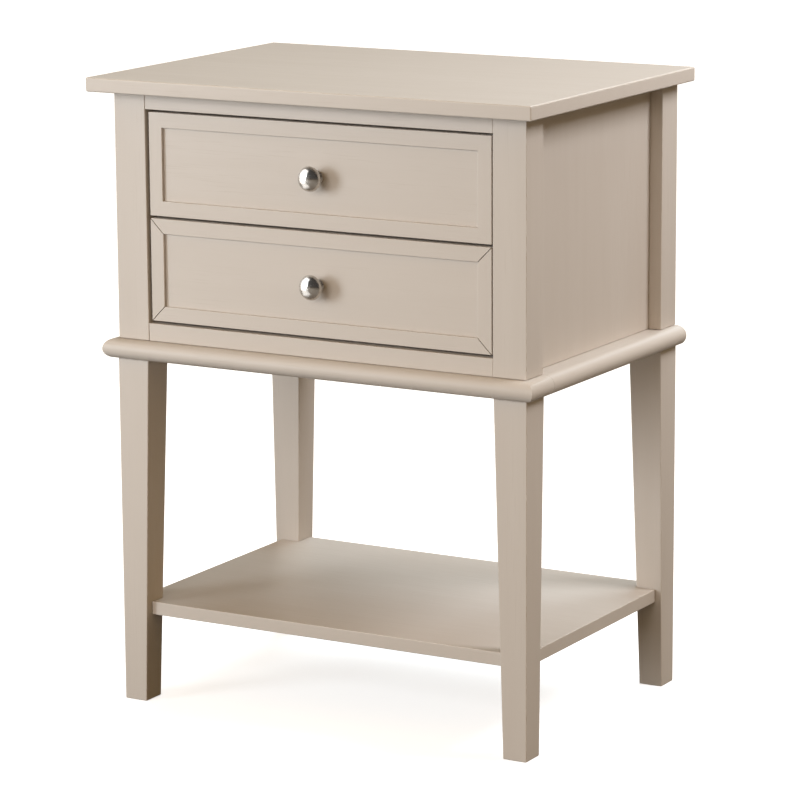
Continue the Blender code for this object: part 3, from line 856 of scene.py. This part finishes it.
def make_base_board(node):
    left, right, front, axis = BASE_BOARDS[node]
    low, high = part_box(node)
    values = {
        "Low": low[:], "High": high[:], "Steps": HALF_ROUND_STEPS,
        "Round Left": left, "Round Right": right, "Round Front": front, "Coat": paint[axis],
    }
    shape = tidy_shape(run_tree(half_round_tree, values))
    ends = [low.y, high.y] if front == 0 else [high.y]

    def at_an_end(edge):
        return any(all(abs(v.co.y - end) < HAIR for v in edge.verts) for end in ends)

    ease_edges(shape, BASE_JOINT_EDGE, 2, at_an_end)
    bolts = [name for name in frame["nodes"] if name.startswith("leg_bolt_") and within(name, low, high)]
    cutters = [hole_cutter(bolt, "Z") for bolt in bolts]
    mesh = shape_to_mesh(shape, node)
    name = f"finished_{node}"
    return finish_piece(name, mesh, paint[axis], "case", [node], cutters)


def within(node, low, high):
    """Whether a node's middle lies over a board, seen from above."""
    a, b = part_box(node)
    return all(low[i] < (a[i] + b[i]) / 2 < high[i] for i in (0, 1))


base_boards = [make_base_board(node) for node in BASE_BOARDS]
print("base boards:", [len(board.data.polygons) for board in base_boards], "faces")

# %% [markdown]
# ## Tapered legs
# Each leg is straight on its two outer faces and tapers on its two inner faces, down to a small
# foot that is nearly square. That is a rule again: the higher the point, the wider the leg. One
# tree makes all four, told by a sign which way is outwards. The edges are then rounded like any
# board's.

# %% Tapered leg tree
FOOT_WIDTH = 0.0285
FOOT_DEPTH = 0.0302
LEG_EDGE = 0.0011
LEG_EDGE_STEPS = 4
LEG_STEPS = 12


def make_leg_tree():
    sizes = {
        "Outer Corner": "Vector", "Top Size": "Vector", "Foot Size": "Vector",
        "Side": "Float", "End": "Float", "Steps": "Int", "Coat": "Material",
    }
    tree, given = new_tree("tapered_leg", sizes)
    body, place = ringed_cube(tree, given["Steps"])
    spot = split(tree, place)
    share = maths(tree, "ADD", spot[2], 0.5)
    growth = vector_maths(tree, "SUBTRACT", given["Top Size"], given["Foot Size"])
    inputs = {0: growth, "Scale": share}
    grown = add_node(tree, "ShaderNodeVectorMath", inputs, operation="SCALE").outputs[0]
    size = split(tree, vector_maths(tree, "ADD", given["Foot Size"], grown))

    def from_corner(outward, across, width):
        """How far a point lies from the outer corner, along one direction."""
        inward = maths(tree, "SUBTRACT", maths(tree, "MULTIPLY", outward, 0.5), across)
        return maths(tree, "MULTIPLY", maths(tree, "MULTIPLY", inward, width), -1.0)

    x = from_corner(given["Side"], spot[0], size[0])
    y = from_corner(given["End"], spot[1], size[1])
    z = maths(tree, "MULTIPLY", share, size[2])
    new_place = vector_maths(tree, "ADD", join(tree, x, y, z), given["Outer Corner"])
    end_tree(tree, move_points(tree, body, new_place))
    return tree


leg_tree = make_leg_tree()
print(leg_tree.name, "has", len(leg_tree.nodes), "nodes")

# %% Legs
def make_leg(end, side):
    node = f"leg_{end}_{side}"
    low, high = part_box(node)
    size = high - low
    outward_x = -1.0 if side == "left" else 1.0
    outward_y = -1.0 if end == "front" else 1.0
    corner = (low.x if side == "left" else high.x, low.y if end == "front" else high.y, low.z)
    values = {
        "Outer Corner": corner, "Top Size": size[:], "Foot Size": (FOOT_WIDTH, FOOT_DEPTH, size.z),
        "Side": outward_x, "End": outward_y, "Steps": LEG_STEPS, "Coat": paint["Z"],
    }
    shape = ease_edges(tidy_shape(run_tree(leg_tree, values)), LEG_EDGE, LEG_EDGE_STEPS)
    cutters = [hole_cutter(f"leg_bolt_{end}_{side}", "Z")]
    mesh = shape_to_mesh(shape, node)
    name = f"finished_{node}"
    return finish_piece(name, mesh, paint["Z"], "case", [node], cutters)


legs = [make_leg(end, side) for end in ENDS for side in SIDES]
print("legs:", [len(leg.data.polygons) for leg in legs], "faces")

# %% [markdown]
# ## The open shelf
# The shelf's corners are notched so that it fits between the legs, flush with none of them. Its
# outline has twelve corners. Each notch stops a hair short of the leg at the shelf's own height.

# %% Shelf
SHELF_EDGE = 0.0009


def leg_inner_corner(end, side, height):
    """Where a leg's inner corner is at a height, from the rule of its taper."""
    low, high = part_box(f"leg_{end}_{side}")
    share = (height - low.z) / (high.z - low.z)
    width = FOOT_WIDTH + (high.x - low.x - FOOT_WIDTH) * share
    depth = FOOT_DEPTH + (high.y - low.y - FOOT_DEPTH) * share
    x = low.x + width + HAIR if side == "left" else high.x - width - HAIR
    y = low.y + depth + HAIR if end == "front" else high.y - depth - HAIR
    return x, y


def make_shelf():
    low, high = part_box("shelf")
    notch_x, notch_front = leg_inner_corner("front", "right", high.z)
    notch_back = leg_inner_corner("rear", "right", high.z)[1]
    right_side = [
        (notch_x, low.y), (notch_x, notch_front), (high.x, notch_front),
        (high.x, notch_back), (notch_x, notch_back), (notch_x, high.y),
    ]
    outline = right_side + [(-x, y) for x, y in reversed(right_side)]
    shape = ease_edges(prism(outline, "Z", low.z, high.z), SHELF_EDGE)
    mesh = shape_to_mesh(shape, "shelf")
    return finish_piece("finished_shelf", mesh, paint["X"], "case", ["shelf"])


print("shelf faces:", len(make_shelf().data.polygons))

# %% [markdown]
# ## Drawer fronts
# Each front is a flat board with a raised frame of four sticks, mitred at the corners. On the
# upper drawer the paint fills the mitres, so the sticks meet there with no gap. On the lower one
# the joints have opened a little and show as fine dark lines. Only the long edges are rounded.

# %% Frame sticks
STICK_EDGE = 0.0006
MITRE_GAPS = {"upper": 0.00001, "lower": 0.0009}


def make_stick(drawer, place):
    node = f"{drawer}_frame_{place}"
    low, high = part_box(node)
    whole_low, whole_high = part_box(f"{drawer}_front_board")
    cut = MITRE_GAPS[drawer] / math.sqrt(2)
    upright = place in ("left", "right")
    width = high.x - low.x if upright else high.z - low.z
    if upright:
        outer = whole_low.x if place == "left" else whole_high.x
        inner = outer + width if place == "left" else outer - width
        outline = [
            (outer, whole_low.z + cut), (outer, whole_high.z - cut),
            (inner, whole_high.z - width - cut), (inner, whole_low.z + width + cut),
        ]
    else:
        outer = whole_low.z if place == "bottom" else whole_high.z
        inner = outer + width if place == "bottom" else outer - width
        outline = [
            (whole_low.x + cut, outer), (whole_high.x - cut, outer),
            (whole_high.x - width - cut, inner), (whole_low.x + width + cut, inner),
        ]
    shape = prism(outline, "Y", low.y, high.y)
    along = 2 if upright else 0

    def is_long(edge):
        a, b = (v.co for v in edge.verts)
        return abs(a[along] - b[along]) > 2 * width

    axis = "Z" if upright else "X"
    mesh = shape_to_mesh(ease_edges(shape, STICK_EDGE, EDGE_STEPS, is_long), node)
    body = body_of_node(node)
    return finish_piece(f"finished_{node}", mesh, paint[axis], body, [node])


sticks = [make_stick(drawer, place) for drawer in DRAWERS for place in ("top", "bottom", "left", "right")]
print(len(sticks), "frame sticks")

# %% [markdown]
# ## Turned pieces
# A knob starts as a bar in a lathe. Its shape is one profile turned about its axis, so the tree
# below copies a chain of points round in steps and joins the copies into rings. The same tree
# turns the screws. Merging the points at the seam and on the axis closes the surface.

# %% Lathe tree
TURNED_STEPS = 72
SEAM_GAP = 0.000002


def make_lathe_tree():
    tree, given = new_tree("lathe", {"Steps": "Int", "Coat": "Material"})
    chain = given["Geometry"]
    count = add_node(tree, "GeometryNodeAttributeDomainSize", {"Geometry": chain}).outputs["Point Count"]
    rows = maths(tree, "SUBTRACT", count, 1.0)
    around = maths(tree, "ADD", given["Steps"], 1.0)
    inputs = {"Size X": rows, "Size Y": given["Steps"], "Vertices X": count, "Vertices Y": around}
    sheet = add_node(tree, "GeometryNodeMeshGrid", inputs).outputs["Mesh"]
    place = add_node(tree, "GeometryNodeInputPosition").outputs[0]
    spot = split(tree, place)
    step_along = maths(tree, "ADD", spot[0], maths(tree, "MULTIPLY", rows, 0.5))
    step_along = maths(tree, "ROUND", step_along)
    step_around = maths(tree, "ADD", spot[1], maths(tree, "MULTIPLY", given["Steps"], 0.5))
    picked = tree.nodes.new("GeometryNodeSampleIndex")
    picked.data_type = "FLOAT_VECTOR"
    tree.links.new(chain, picked.inputs["Geometry"])
    tree.links.new(place, next(s for s in picked.inputs if s.name == "Value" and s.enabled))
    tree.links.new(step_along, picked.inputs["Index"])
    profile = split(tree, next(s for s in picked.outputs if s.enabled))
    angle = maths(tree, "DIVIDE", step_around, given["Steps"])
    angle = maths(tree, "MULTIPLY", angle, 2 * math.pi)
    x = maths(tree, "MULTIPLY", profile[0], maths(tree, "COSINE", angle))
    y = maths(tree, "MULTIPLY", profile[0], maths(tree, "SINE", angle))
    turned = move_points(tree, sheet, join(tree, x, y, profile[2]))
    inputs = {"Geometry": turned, "Distance": SEAM_GAP}
    end_tree(tree, add_node(tree, "GeometryNodeMergeByDistance", inputs).outputs[0])
    return tree


def chain_of(profile):
    """A mesh of points joined in a row, from (radius, height) pairs."""
    mesh = bpy.data.meshes.new("profile")
    points = [(radius, 0, height) for radius, height in profile]
    mesh.from_pydata(points, [(i, i + 1) for i in range(len(points) - 1)], [])
    return mesh


def turn(profile, material, steps=TURNED_STEPS):
    return tidy_shape(run_tree(lathe_tree, {"Steps": steps, "Coat": material}, chain_of(profile)))


lathe_tree = make_lathe_tree()
print(lathe_tree.name, "has", len(lathe_tree.nodes), "nodes")

# %% [markdown]
# ### The knobs
# From the drawer outwards a knob has a small flange with a rounded lip, a slim neck, a bell that
# flares out to the rim, and a shallow dome. The profile is drawn with arcs, so each stretch has
# only its centre, its radius and its two angles. A screw from inside the drawer holds the knob.

# %% Knob profile
FLANGE_RADIUS = 0.0072
FLANGE_HEIGHT = 0.0026
FLANGE_LIP = 0.0008
NECK_RADIUS = 0.0050
NECK_TOP = 0.0095
RIM_ROUND = 0.0007
RIM_AT_SHARE = 0.67
RIM_END_UP = 0.77
RIM_END_IN = 0.36
ARC_STEPS = 12


def arc(centre_radius, centre_height, size_out, size_up, start, end, steps=ARC_STEPS):
    """Points along part of an ellipse, with its angles in degrees from straight outwards."""
    points = []
    for step in range(steps + 1):
        angle = math.radians(start + (end - start) * step / steps)
        height = centre_height + size_up * math.sin(angle)
        points.append((centre_radius + size_out * math.cos(angle), height))
    return points


def knob_profile(rim_radius, height):
    bore = KNOB_SCREW_RADIUS + HAIR
    rim_height = height * RIM_AT_SHARE
    lip_radius, round_radius = FLANGE_RADIUS - FLANGE_LIP, rim_radius - RIM_ROUND
    hollow = (1.4 * FLANGE_LIP, FLANGE_HEIGHT - 2 * FLANGE_LIP)
    flare = (rim_radius - RIM_ROUND - NECK_RADIUS, rim_height - NECK_TOP)
    dome_base = rim_height + RIM_ROUND * RIM_END_UP
    dome = (rim_radius - RIM_ROUND * RIM_END_IN, height - dome_base)
    profile = [(0, FLANGE_HEIGHT * 4), (bore, FLANGE_HEIGHT * 4), (bore, 0)]
    profile += [(FLANGE_RADIUS - FLANGE_LIP / 2, 0)]
    profile += arc(lip_radius, FLANGE_LIP, FLANGE_LIP, FLANGE_LIP, -60, 90, 6)
    profile += arc(lip_radius, FLANGE_HEIGHT, *hollow, 270, 180, 6)
    profile += arc(round_radius, NECK_TOP - FLANGE_LIP, *flare, 180, 90)
    profile += arc(round_radius, rim_height, RIM_ROUND, RIM_ROUND, -80, 50, 8)
    profile += arc(0, dome_base, *dome, 4, 90, 2 * ARC_STEPS)
    return profile


low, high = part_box("upper_knob")
test_profile = knob_profile((high.x - low.x) / 2, high.y - low.y)
print("knob profile:", len(test_profile), "points, radius", round((high.x - low.x) / 2, 4))

# %% Knobs
def make_knob(drawer):
    node = f"{drawer}_knob"
    low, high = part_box(node)
    middle = (low + high) / 2
    nickel = make_nickel(f"satin_nickel_{drawer}", middle)
    shape = turn(knob_profile((high.x - low.x) / 2, high.y - low.y), nickel)
    lay_down(shape, 1, (middle.x, high.y, middle.z))
    mesh = shape_to_mesh(shape, node)
    return finish_piece(f"finished_{node}", mesh, nickel, body_of_node(node), [node])


knobs = [make_knob(drawer) for drawer in DRAWERS]
print("knobs:", [len(knob.data.polygons) for knob in knobs], "faces")

# %% [markdown]
# ## Screws with a cross recess
# The screws are turned on the same lathe: a shank and a domed head. The recess is a plus sign cut
# into the head with a Boolean. One screw holds each knob from inside its drawer. Shorter heads
# without a shank serve as patterns for the rows that follow.

# %% Screw heads
RECESS_DEPTH_SHARE = 0.55
RECESS_WIDTH_SHARE = 0.22
RECESS_LENGTH_SHARE = 1.15
SUNK = 0.0001
HEAD_STEPS = 24
TIP_SHARE = 0.6
HEAD_FOOT_SHARE = 0.97
HEAD_SIDE_SHARES = (0.1, 0.35)


def head_profile(radius, height, shank_radius=0.0, shank_length=0.0):
    """A pan head on a shank, from the tip of the shank to the top of the dome."""
    side_low, side_high = (height * share for share in HEAD_SIDE_SHARES)
    if shank_length:
        tip = shank_radius * TIP_SHARE
        profile = [(0, -shank_length), (tip, -shank_length)]
        profile += [(shank_radius, -shank_length + tip), (shank_radius, 0)]
    else:
        profile = [(0, -SUNK)]
    profile += [(radius * HEAD_FOOT_SHARE, 0 if shank_length else -SUNK), (radius, side_low)]
    profile += arc(0, side_high, radius, height - side_high, 0, 90, 6)
    return profile


def cut_recess(shape, radius, height):
    """Cuts the plus sign into a head that points up."""
    width = radius * RECESS_WIDTH_SHARE
    length = radius * RECESS_LENGTH_SHARE
    depth = height * RECESS_DEPTH_SHARE
    arms = []
    for size_x, size_y in ((length, width), (width, length)):
        low = Vector((-size_x / 2, -size_y / 2, height - depth))
        high = Vector((size_x / 2, size_y / 2, height + depth))
        arms.append(carry(shape_to_mesh(blank(low, high), "recess"), "recess_cutter"))
    return tidy_shape(cut_away(shape_to_mesh(shape, "head"), "head", arms))


def make_head(radius, height, shank_radius=0.0, shank_length=0.0):
    turned = turn(head_profile(radius, height, shank_radius, shank_length), zinc_screw, HEAD_STEPS)
    return cut_recess(turned, radius, height)


def make_knob_screw(drawer):
    node = f"{drawer}_knob_screw"
    low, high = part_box(node)
    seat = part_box(f"{drawer}_front_board")[1].y
    radius = (high.x - low.x) / 2
    shape = make_head(radius, high.y - seat, KNOB_SCREW_RADIUS, seat - low.y)
    lay_down(shape, -1, ((low.x + high.x) / 2, seat, (low.z + high.z) / 2))
    mesh = shape_to_mesh(shape, node)
    return finish_piece(f"finished_{node}", mesh, zinc_screw, body_of_node(node), [node])


knob_screws = [make_knob_screw(drawer) for drawer in DRAWERS]
print("knob screws:", [len(screw.data.polygons) for screw in knob_screws], "faces")

# %% [markdown]
# ## Rows of balls, screws and brads
# Balls in their cages, screws along the slides and brads along the back are all rows of one
# pattern. The tree takes a small mesh with one point where each row starts, and a stored direction
# for its copies to face. It lays out each row, puts a copy on every point and joins them up.

# %% Row tree
def make_row_tree():
    sizes = {"Pattern": "Object", "Count": "Int", "Step": "Vector", "Coat": "Material"}
    tree, given = new_tree("rows_of_copies", sizes)
    inputs = {"Count": given["Count"], "Offset": given["Step"]}
    line = add_node(tree, "GeometryNodeMeshLine", inputs, mode="OFFSET").outputs["Mesh"]
    inputs = {"Points": given["Geometry"], "Instance": line}
    lines = add_node(tree, "GeometryNodeInstanceOnPoints", inputs).outputs["Instances"]
    spots = add_node(tree, "GeometryNodeRealizeInstances", {"Geometry": lines}).outputs[0]
    inputs = {"Name": "facing"}
    facing = add_node(tree, "GeometryNodeInputNamedAttribute", inputs, data_type="FLOAT_VECTOR")
    inputs = {"Vector": next(socket for socket in facing.outputs if socket.enabled)}
    turned = add_node(tree, "FunctionNodeAlignRotationToVector", inputs, axis="Z").outputs[0]
    pattern = add_node(tree, "GeometryNodeObjectInfo", {"Object": given["Pattern"]}).outputs["Geometry"]
    inputs = {"Points": spots, "Instance": pattern, "Rotation": turned}
    end_tree(tree, add_node(tree, "GeometryNodeInstanceOnPoints", inputs).outputs["Instances"])
    return tree


def row_starts(starts):
    """A mesh of loose points, from pairs of a place and a direction to face."""
    mesh = bpy.data.meshes.new("row_starts")
    mesh.from_pydata([place for place, facing in starts], [], [])
    stored = mesh.attributes.new("facing", "FLOAT_VECTOR", "POINT")
    for number, (place, facing) in enumerate(starts):
        stored.data[number].vector = facing
    return mesh


row_tree = make_row_tree()
print(row_tree.name, "has", len(row_tree.nodes), "nodes")

# %% Rows
BALL_RADIUS = 0.0031
BALL_FROM_POST = 0.0050
BALL_FROM_CENTRE = 0.0129
BALL_SPACING = 0.0090
BALLS_IN_ROW = 8
SHEET = 0.0012
CASE_HEAD = (0.0032, 0.00025)
CHANNEL_HEAD = (0.0034, 0.0016)
BRAD_HEAD = (0.0013, 0.0003)
SCREWS_IN_CHANNEL = 3
CHANNEL_SCREWS_FROM = 0.1
CHANNEL_SCREWS_SPAN = 0.8
BOX_BRADS_FROM = 0.18
BOX_BRADS_SPAN = 0.64
BACK_BRADS = 5
BACK_BRADS_SPAN = 0.88


def add_rows(name, pattern, body, material, starts, count, step):
    values = {"Pattern": pattern, "Count": count, "Step": step, "Coat": material}
    mesh = run_tree(row_tree, values, row_starts(starts))
    return finish_piece(name, mesh, material, body)


def pattern_object(shape, name):
    return carry(shape_to_mesh(shape, name), name)


def add_slide_rows(drawer, side):
    """The balls and screws of one slide."""
    inward = 1.0 if side == "left" else -1.0
    case_low, case_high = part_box(f"{drawer}_case_slide_{side}")
    moving_low, moving_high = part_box(f"{drawer}_drawer_slide_{side}")
    cage_low, cage_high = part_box(f"{drawer}_ball_cage_{side}")
    centre = (case_low.z + case_high.z) / 2
    wall = case_low.x - HAIR if side == "left" else case_high.x + HAIR
    first = (cage_low.y + cage_high.y) / 2 - BALL_SPACING * (BALLS_IN_ROW - 1) / 2
    starts = [
        ((wall + inward * BALL_FROM_POST, first, centre + up * BALL_FROM_CENTRE), (inward, 0, 0))
        for up in (-1, 1)
    ]
    body = body_of_node(f"{drawer}_ball_cage_{side}")
    name = f"{drawer}_balls_{side}"
    add_rows(name, ball, body, ball_steel, starts, BALLS_IN_ROW, (0, BALL_SPACING, 0))
    front_spot = (case_low.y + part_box(f"post_front_{side}")[1].y) / 2
    rear_spot = (case_high.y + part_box(f"post_rear_{side}")[0].y) / 2
    starts = [((wall + inward * (HAIR + SHEET), front_spot, centre), (inward, 0, 0))]
    step = (0, rear_spot - front_spot, 0)
    name = f"{drawer}_case_screws_{side}"
    add_rows(name, case_head, "case", zinc_screw, starts, 2, step)
    web = moving_high.x - SHEET if side == "left" else moving_low.x + SHEET
    length = moving_high.y - moving_low.y
    starts = [((web, moving_low.y + length * CHANNEL_SCREWS_FROM, centre), (-inward, 0, 0))]
    step = (0, length * CHANNEL_SCREWS_SPAN / (SCREWS_IN_CHANNEL - 1), 0)
    body = body_of_node(f"{drawer}_drawer_slide_{side}")
    name = f"{drawer}_channel_screws_{side}"
    add_rows(name, channel_head, body, zinc_screw, starts, SCREWS_IN_CHANNEL, step)


def add_box_brads(drawer):
    """Two brads through each box side into the back of the box."""
    back_low, back_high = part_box(f"{drawer}_box_back")
    depth = (back_low.y + back_high.y) / 2
    height = back_high.z - back_low.z
    starts = []
    for side, outward in (("left", -1.0), ("right", 1.0)):
        low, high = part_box(f"{drawer}_box_side_{side}")
        x = low.x if side == "left" else high.x
        starts.append(((x, depth, back_low.z + height * BOX_BRADS_FROM), (outward, 0, 0)))
    name = f"{drawer}_box_brads"
    body = body_of_node(f"{drawer}_box_back")
    step = (0, 0, height * BOX_BRADS_SPAN)
    add_rows(name, brad_head, body, zinc_screw, starts, 2, step)


def add_back_brads():
    """Brads along the top of the back panel, into the rear rail."""
    low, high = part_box("back_panel")
    rail_low, rail_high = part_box("top_rear_rail")
    length = (rail_high.x - rail_low.x) * BACK_BRADS_SPAN
    starts = [((-length / 2, high.y, (rail_low.z + rail_high.z) / 2), (0, 1.0, 0))]
    step = (length / (BACK_BRADS - 1), 0, 0)
    add_rows("back_brads", brad_head, "case", zinc_screw, starts, BACK_BRADS, step)


ball = pattern_object(turn(arc(0, 0, BALL_RADIUS, BALL_RADIUS, -90, 90, 10), ball_steel, 18), "ball")
case_head = pattern_object(make_head(*CASE_HEAD), "case_head")
channel_head = pattern_object(make_head(*CHANNEL_HEAD), "channel_head")
brad_head = pattern_object(turn(head_profile(*BRAD_HEAD), zinc_screw, 12), "brad_head")
for drawer in DRAWERS:
    for side in SIDES:
        add_slide_rows(drawer, side)
    add_box_brads(drawer)
add_back_brads()
for pattern in (ball, case_head, channel_head, brad_head):
    bpy.data.objects.remove(pattern)
print("rows made with", board_count, "pieces so far")

# %% [markdown]
# ## Rolled channels, cages and bolts
# Drawer slides are rolled from zinc-plated sheet, so their bends are rounded. The working model
# has the right channels with crisp corners. Each one is copied, its doubled points are merged,
# and its edges are rounded a little. Slots punched in the web save metal and take the fixing screws.

# %% Channels, cages and bolts
SHEET_EDGE = 0.00022
SLOT_LENGTH = 0.030
SLOT_WIDTH = 0.0070
SLOTS_AT = (0.28, 0.64)
SLOT_END_STEPS = 12
METAL_WORDS = ("_slide_", "ball_cage", "leg_bolt")


def worked_copy(node, radius):
    """The model's own mesh as a bmesh: merged, its flat faces joined, its edges rounded."""
    source = frame["nodes"][node]
    shape = bmesh.new()
    shape.from_mesh(source.data)
    shape.transform(source.matrix_world)
    bmesh.ops.remove_doubles(shape, verts=shape.verts, dist=SEAM_GAP)
    bmesh.ops.dissolve_limit(shape, angle_limit=math.radians(1), verts=shape.verts, edges=shape.edges)
    return ease_edges(shape, radius, 2)


def slot_cutter(x, y, z):
    """A long hole with round ends, lying along Y and cutting along X."""
    straight = (SLOT_LENGTH - SLOT_WIDTH) / 2
    outline = []
    for end in (1, -1):
        for step in range(SLOT_END_STEPS + 1):
            angle = math.radians(-90 + 180 * step / SLOT_END_STEPS)
            along = end * (straight + SLOT_WIDTH / 2 * math.cos(angle))
            outline.append((y + along, z + end * SLOT_WIDTH / 2 * math.sin(angle)))
    shape = prism(outline, "X", x - 2 * SHEET, x + 2 * SHEET)
    return carry(shape_to_mesh(shape, "slot_cutter"), "slot_cutter")


def make_metal_part(node):
    low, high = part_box(node)
    steel = "slide" in node or "ball_cage" in node
    cutters = []
    if "_slide_" in node and "ball" not in node:
        outer_web = "case_slide" in node
        web = low.x if outer_web == node.endswith("left") else high.x
        for share in SLOTS_AT:
            place = low.y + (high.y - low.y) * share
            cutters.append(slot_cutter(web, place, (low.z + high.z) / 2))
    mesh = shape_to_mesh(worked_copy(node, SHEET_EDGE), node)
    material = zinc_sheet if steel else zinc_screw
    name, body = f"finished_{node}", body_of_node(node)
    return finish_piece(name, mesh, material, body, [node], cutters)


metal_nodes = [node for node in frame["nodes"] if any(word in node for word in METAL_WORDS)]
metal_parts = [make_metal_part(node) for node in metal_nodes]
print(len(metal_parts), "metal parts,", sum(len(part.data.polygons) for part in metal_parts), "faces")

# %% [markdown]
# ## Floor, light and air
# The studio is plain. A key light at the front left gives the soft shadows beside the knobs, a
# weaker one fills in from the front, and one from the right lights the side. A broad sun-like
# light from above and behind falls on the top and the shelf, and the air adds a dim warm glow.
# A tall screen and a card on the floor are seen only by shiny things. They put the bright bands
# on the knobs. The floor throws little light back up, so the undersides stay calm.

# %% Floor
FLOOR_REACH = 30.0
FLOOR_SEEN = (0.80, 0.80, 0.80, 1)
FLOOR_GLOW = 0.70
FLOOR_ROUGHNESS = 0.9
FLOOR_MIRRORED = (0.22, 0.20, 0.18, 1)
FLOOR_THROWN = (0.12, 0.11, 0.10, 1)


def by_ray(tree, seen, mirrored, thrown):
    """One colour for the camera, one for mirror reflections and one for soft bounced light."""
    path = add_node(tree, "ShaderNodeLightPath").outputs
    bounced = mix_colours(tree, path["Is Glossy Ray"], thrown, mirrored)
    return mix_colours(tree, path["Is Camera Ray"], bounced, seen)


def add_floor():
    mesh = bpy.data.meshes.new("floor")
    corners = [(-FLOOR_REACH, -FLOOR_REACH, 0), (FLOOR_REACH, -FLOOR_REACH, 0)]
    corners += [(FLOOR_REACH, FLOOR_REACH, 0), (-FLOOR_REACH, FLOOR_REACH, 0)]
    mesh.from_pydata(corners, [], [(0, 1, 2, 3)])
    material, tree, shader = start_finish("studio_floor")
    colour = by_ray(tree, FLOOR_SEEN, FLOOR_MIRRORED, FLOOR_THROWN)
    tree.links.new(colour, shader.inputs["Base Color"])
    seen = add_node(tree, "ShaderNodeLightPath").outputs["Is Camera Ray"]
    tree.links.new(maths(tree, "MULTIPLY", seen, FLOOR_GLOW), shader.inputs["Emission Strength"])
    set_shader(shader, Roughness=FLOOR_ROUGHNESS, Specular_IOR_Level=0.0)
    set_shader(shader, Emission_Color=(1, 1, 1, 1))
    mesh.materials.append(material)
    floor = carry(mesh, "floor")
    floor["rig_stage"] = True
    return floor


print("floor:", add_floor().name)

# %% Lights
SOFT_LIGHTS = {
    "key_light": {
        "bearing": 37.0, "height": 11.0, "distance": 4.0, "size": (1.3, 1.5),
        "watts": 68.0, "colour": (0.80, 0.90, 0.99),
    },
    "front_light": {
        "bearing": 0.0, "height": 18.0, "distance": 4.0, "size": (2.0, 1.5),
        "watts": 51.5, "colour": (1.0, 0.985, 0.985), "seen_by": "matt",
    },
    "side_light": {
        "bearing": -108.0, "height": 42.0, "distance": 1.8, "size": (0.6, 0.6),
        "watts": 19.0, "colour": (0.92, 0.945, 1.0),
    },
    "tall_screen": {
        "bearing": 50.0, "height": 20.0, "distance": 1.4, "size": (1.15, 1.75),
        "watts": 15.0, "colour": (1.0, 0.98, 0.96), "seen_by": "mirrors",
    },
}
CARD_BEARING = 50.0
CARD_DISTANCE = 1.05
CARD_HEIGHT = 0.004
CARD_SIZE = (0.8, 1.1)
CARD_WATTS = 3.2
OVERHEAD_STRENGTH = 2.0
OVERHEAD_COLOUR = (0.71, 0.87, 0.98)
OVERHEAD_SPREAD = 40.0
OVERHEAD_TILT = (-40.0, 0.0)
AIR_STRENGTH = 0.441
AIR_COLOUR = (1.0, 0.665, 0.29)
AIR_MIRRORED = (0.06, 0.054, 0.05, 1)
AIR_SEEN = (1.0, 1.0, 1.0, 1)


def add_soft_light(name, bearing, height, distance, size, watts, colour, seen_by="all"):
    """A rectangle of light that faces the nightstand. Its bearing is degrees left of the front."""
    turn_by, rise = math.radians(bearing), math.radians(height)
    level = Vector((-math.sin(turn_by), -math.cos(turn_by), 0))
    towards = level * math.cos(rise) + Vector((0, 0, math.sin(rise)))
    data = bpy.data.lights.new(name, "AREA")
    data.shape = "RECTANGLE"
    data.size, data.size_y = size
    data.energy = watts
    data.color = colour
    lamp = bpy.data.objects.new(name, data)
    lamp.location = (cad_low + cad_high) / 2 + towards * distance
    lamp.rotation_euler = towards.to_track_quat("Z", "Y").to_euler()
    lamp.visible_diffuse = seen_by != "mirrors"
    lamp.visible_glossy = seen_by != "matt"
    lamp.visible_camera = False
    bpy.context.scene.collection.objects.link(lamp)
    return lamp


def add_floor_card():
    """A bright card on the floor, seen only in shiny things, like a white board below a product."""
    data = bpy.data.lights.new("floor_card", "AREA")
    data.shape = "RECTANGLE"
    data.size, data.size_y = CARD_SIZE
    data.energy = CARD_WATTS
    lamp = bpy.data.objects.new("floor_card", data)
    angle = math.radians(CARD_BEARING)
    front = cad_low.y - math.cos(angle) * CARD_DISTANCE
    lamp.location = (-math.sin(angle) * CARD_DISTANCE, front, CARD_HEIGHT)
    lamp.rotation_euler = (math.pi, 0, -angle)
    lamp.visible_diffuse = False
    lamp.visible_camera = False
    bpy.context.scene.collection.objects.link(lamp)
    return lamp


def add_overhead_light():
    data = bpy.data.lights.new("overhead_light", "SUN")
    data.energy = OVERHEAD_STRENGTH
    data.color = OVERHEAD_COLOUR
    data.angle = math.radians(OVERHEAD_SPREAD)
    lamp = bpy.data.objects.new("overhead_light", data)
    lamp.rotation_euler = [math.radians(angle) for angle in (*OVERHEAD_TILT, 0)]
    bpy.context.scene.collection.objects.link(lamp)
    return lamp


def add_air():
    """The world: pale where it is seen, a dim warm glow as a light."""
    world = bpy.data.worlds.new("studio_air")
    world.use_nodes = True
    tree = world.node_tree
    background = tree.nodes["Background"]
    glow = tuple(AIR_STRENGTH * value for value in AIR_COLOUR) + (1,)
    tree.links.new(by_ray(tree, AIR_SEEN, AIR_MIRRORED, glow), background.inputs["Color"])
    bpy.context.scene.world = world
    return world


lamps = [add_soft_light(name, **light) for name, light in SOFT_LIGHTS.items()]
lamps.append(add_floor_card())
lamps.append(add_overhead_light())
add_air()
bpy.context.scene.view_settings.view_transform = "Standard"
print("lights:", [lamp.name for lamp in lamps])

# %% Sizes, then the end
low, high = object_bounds()
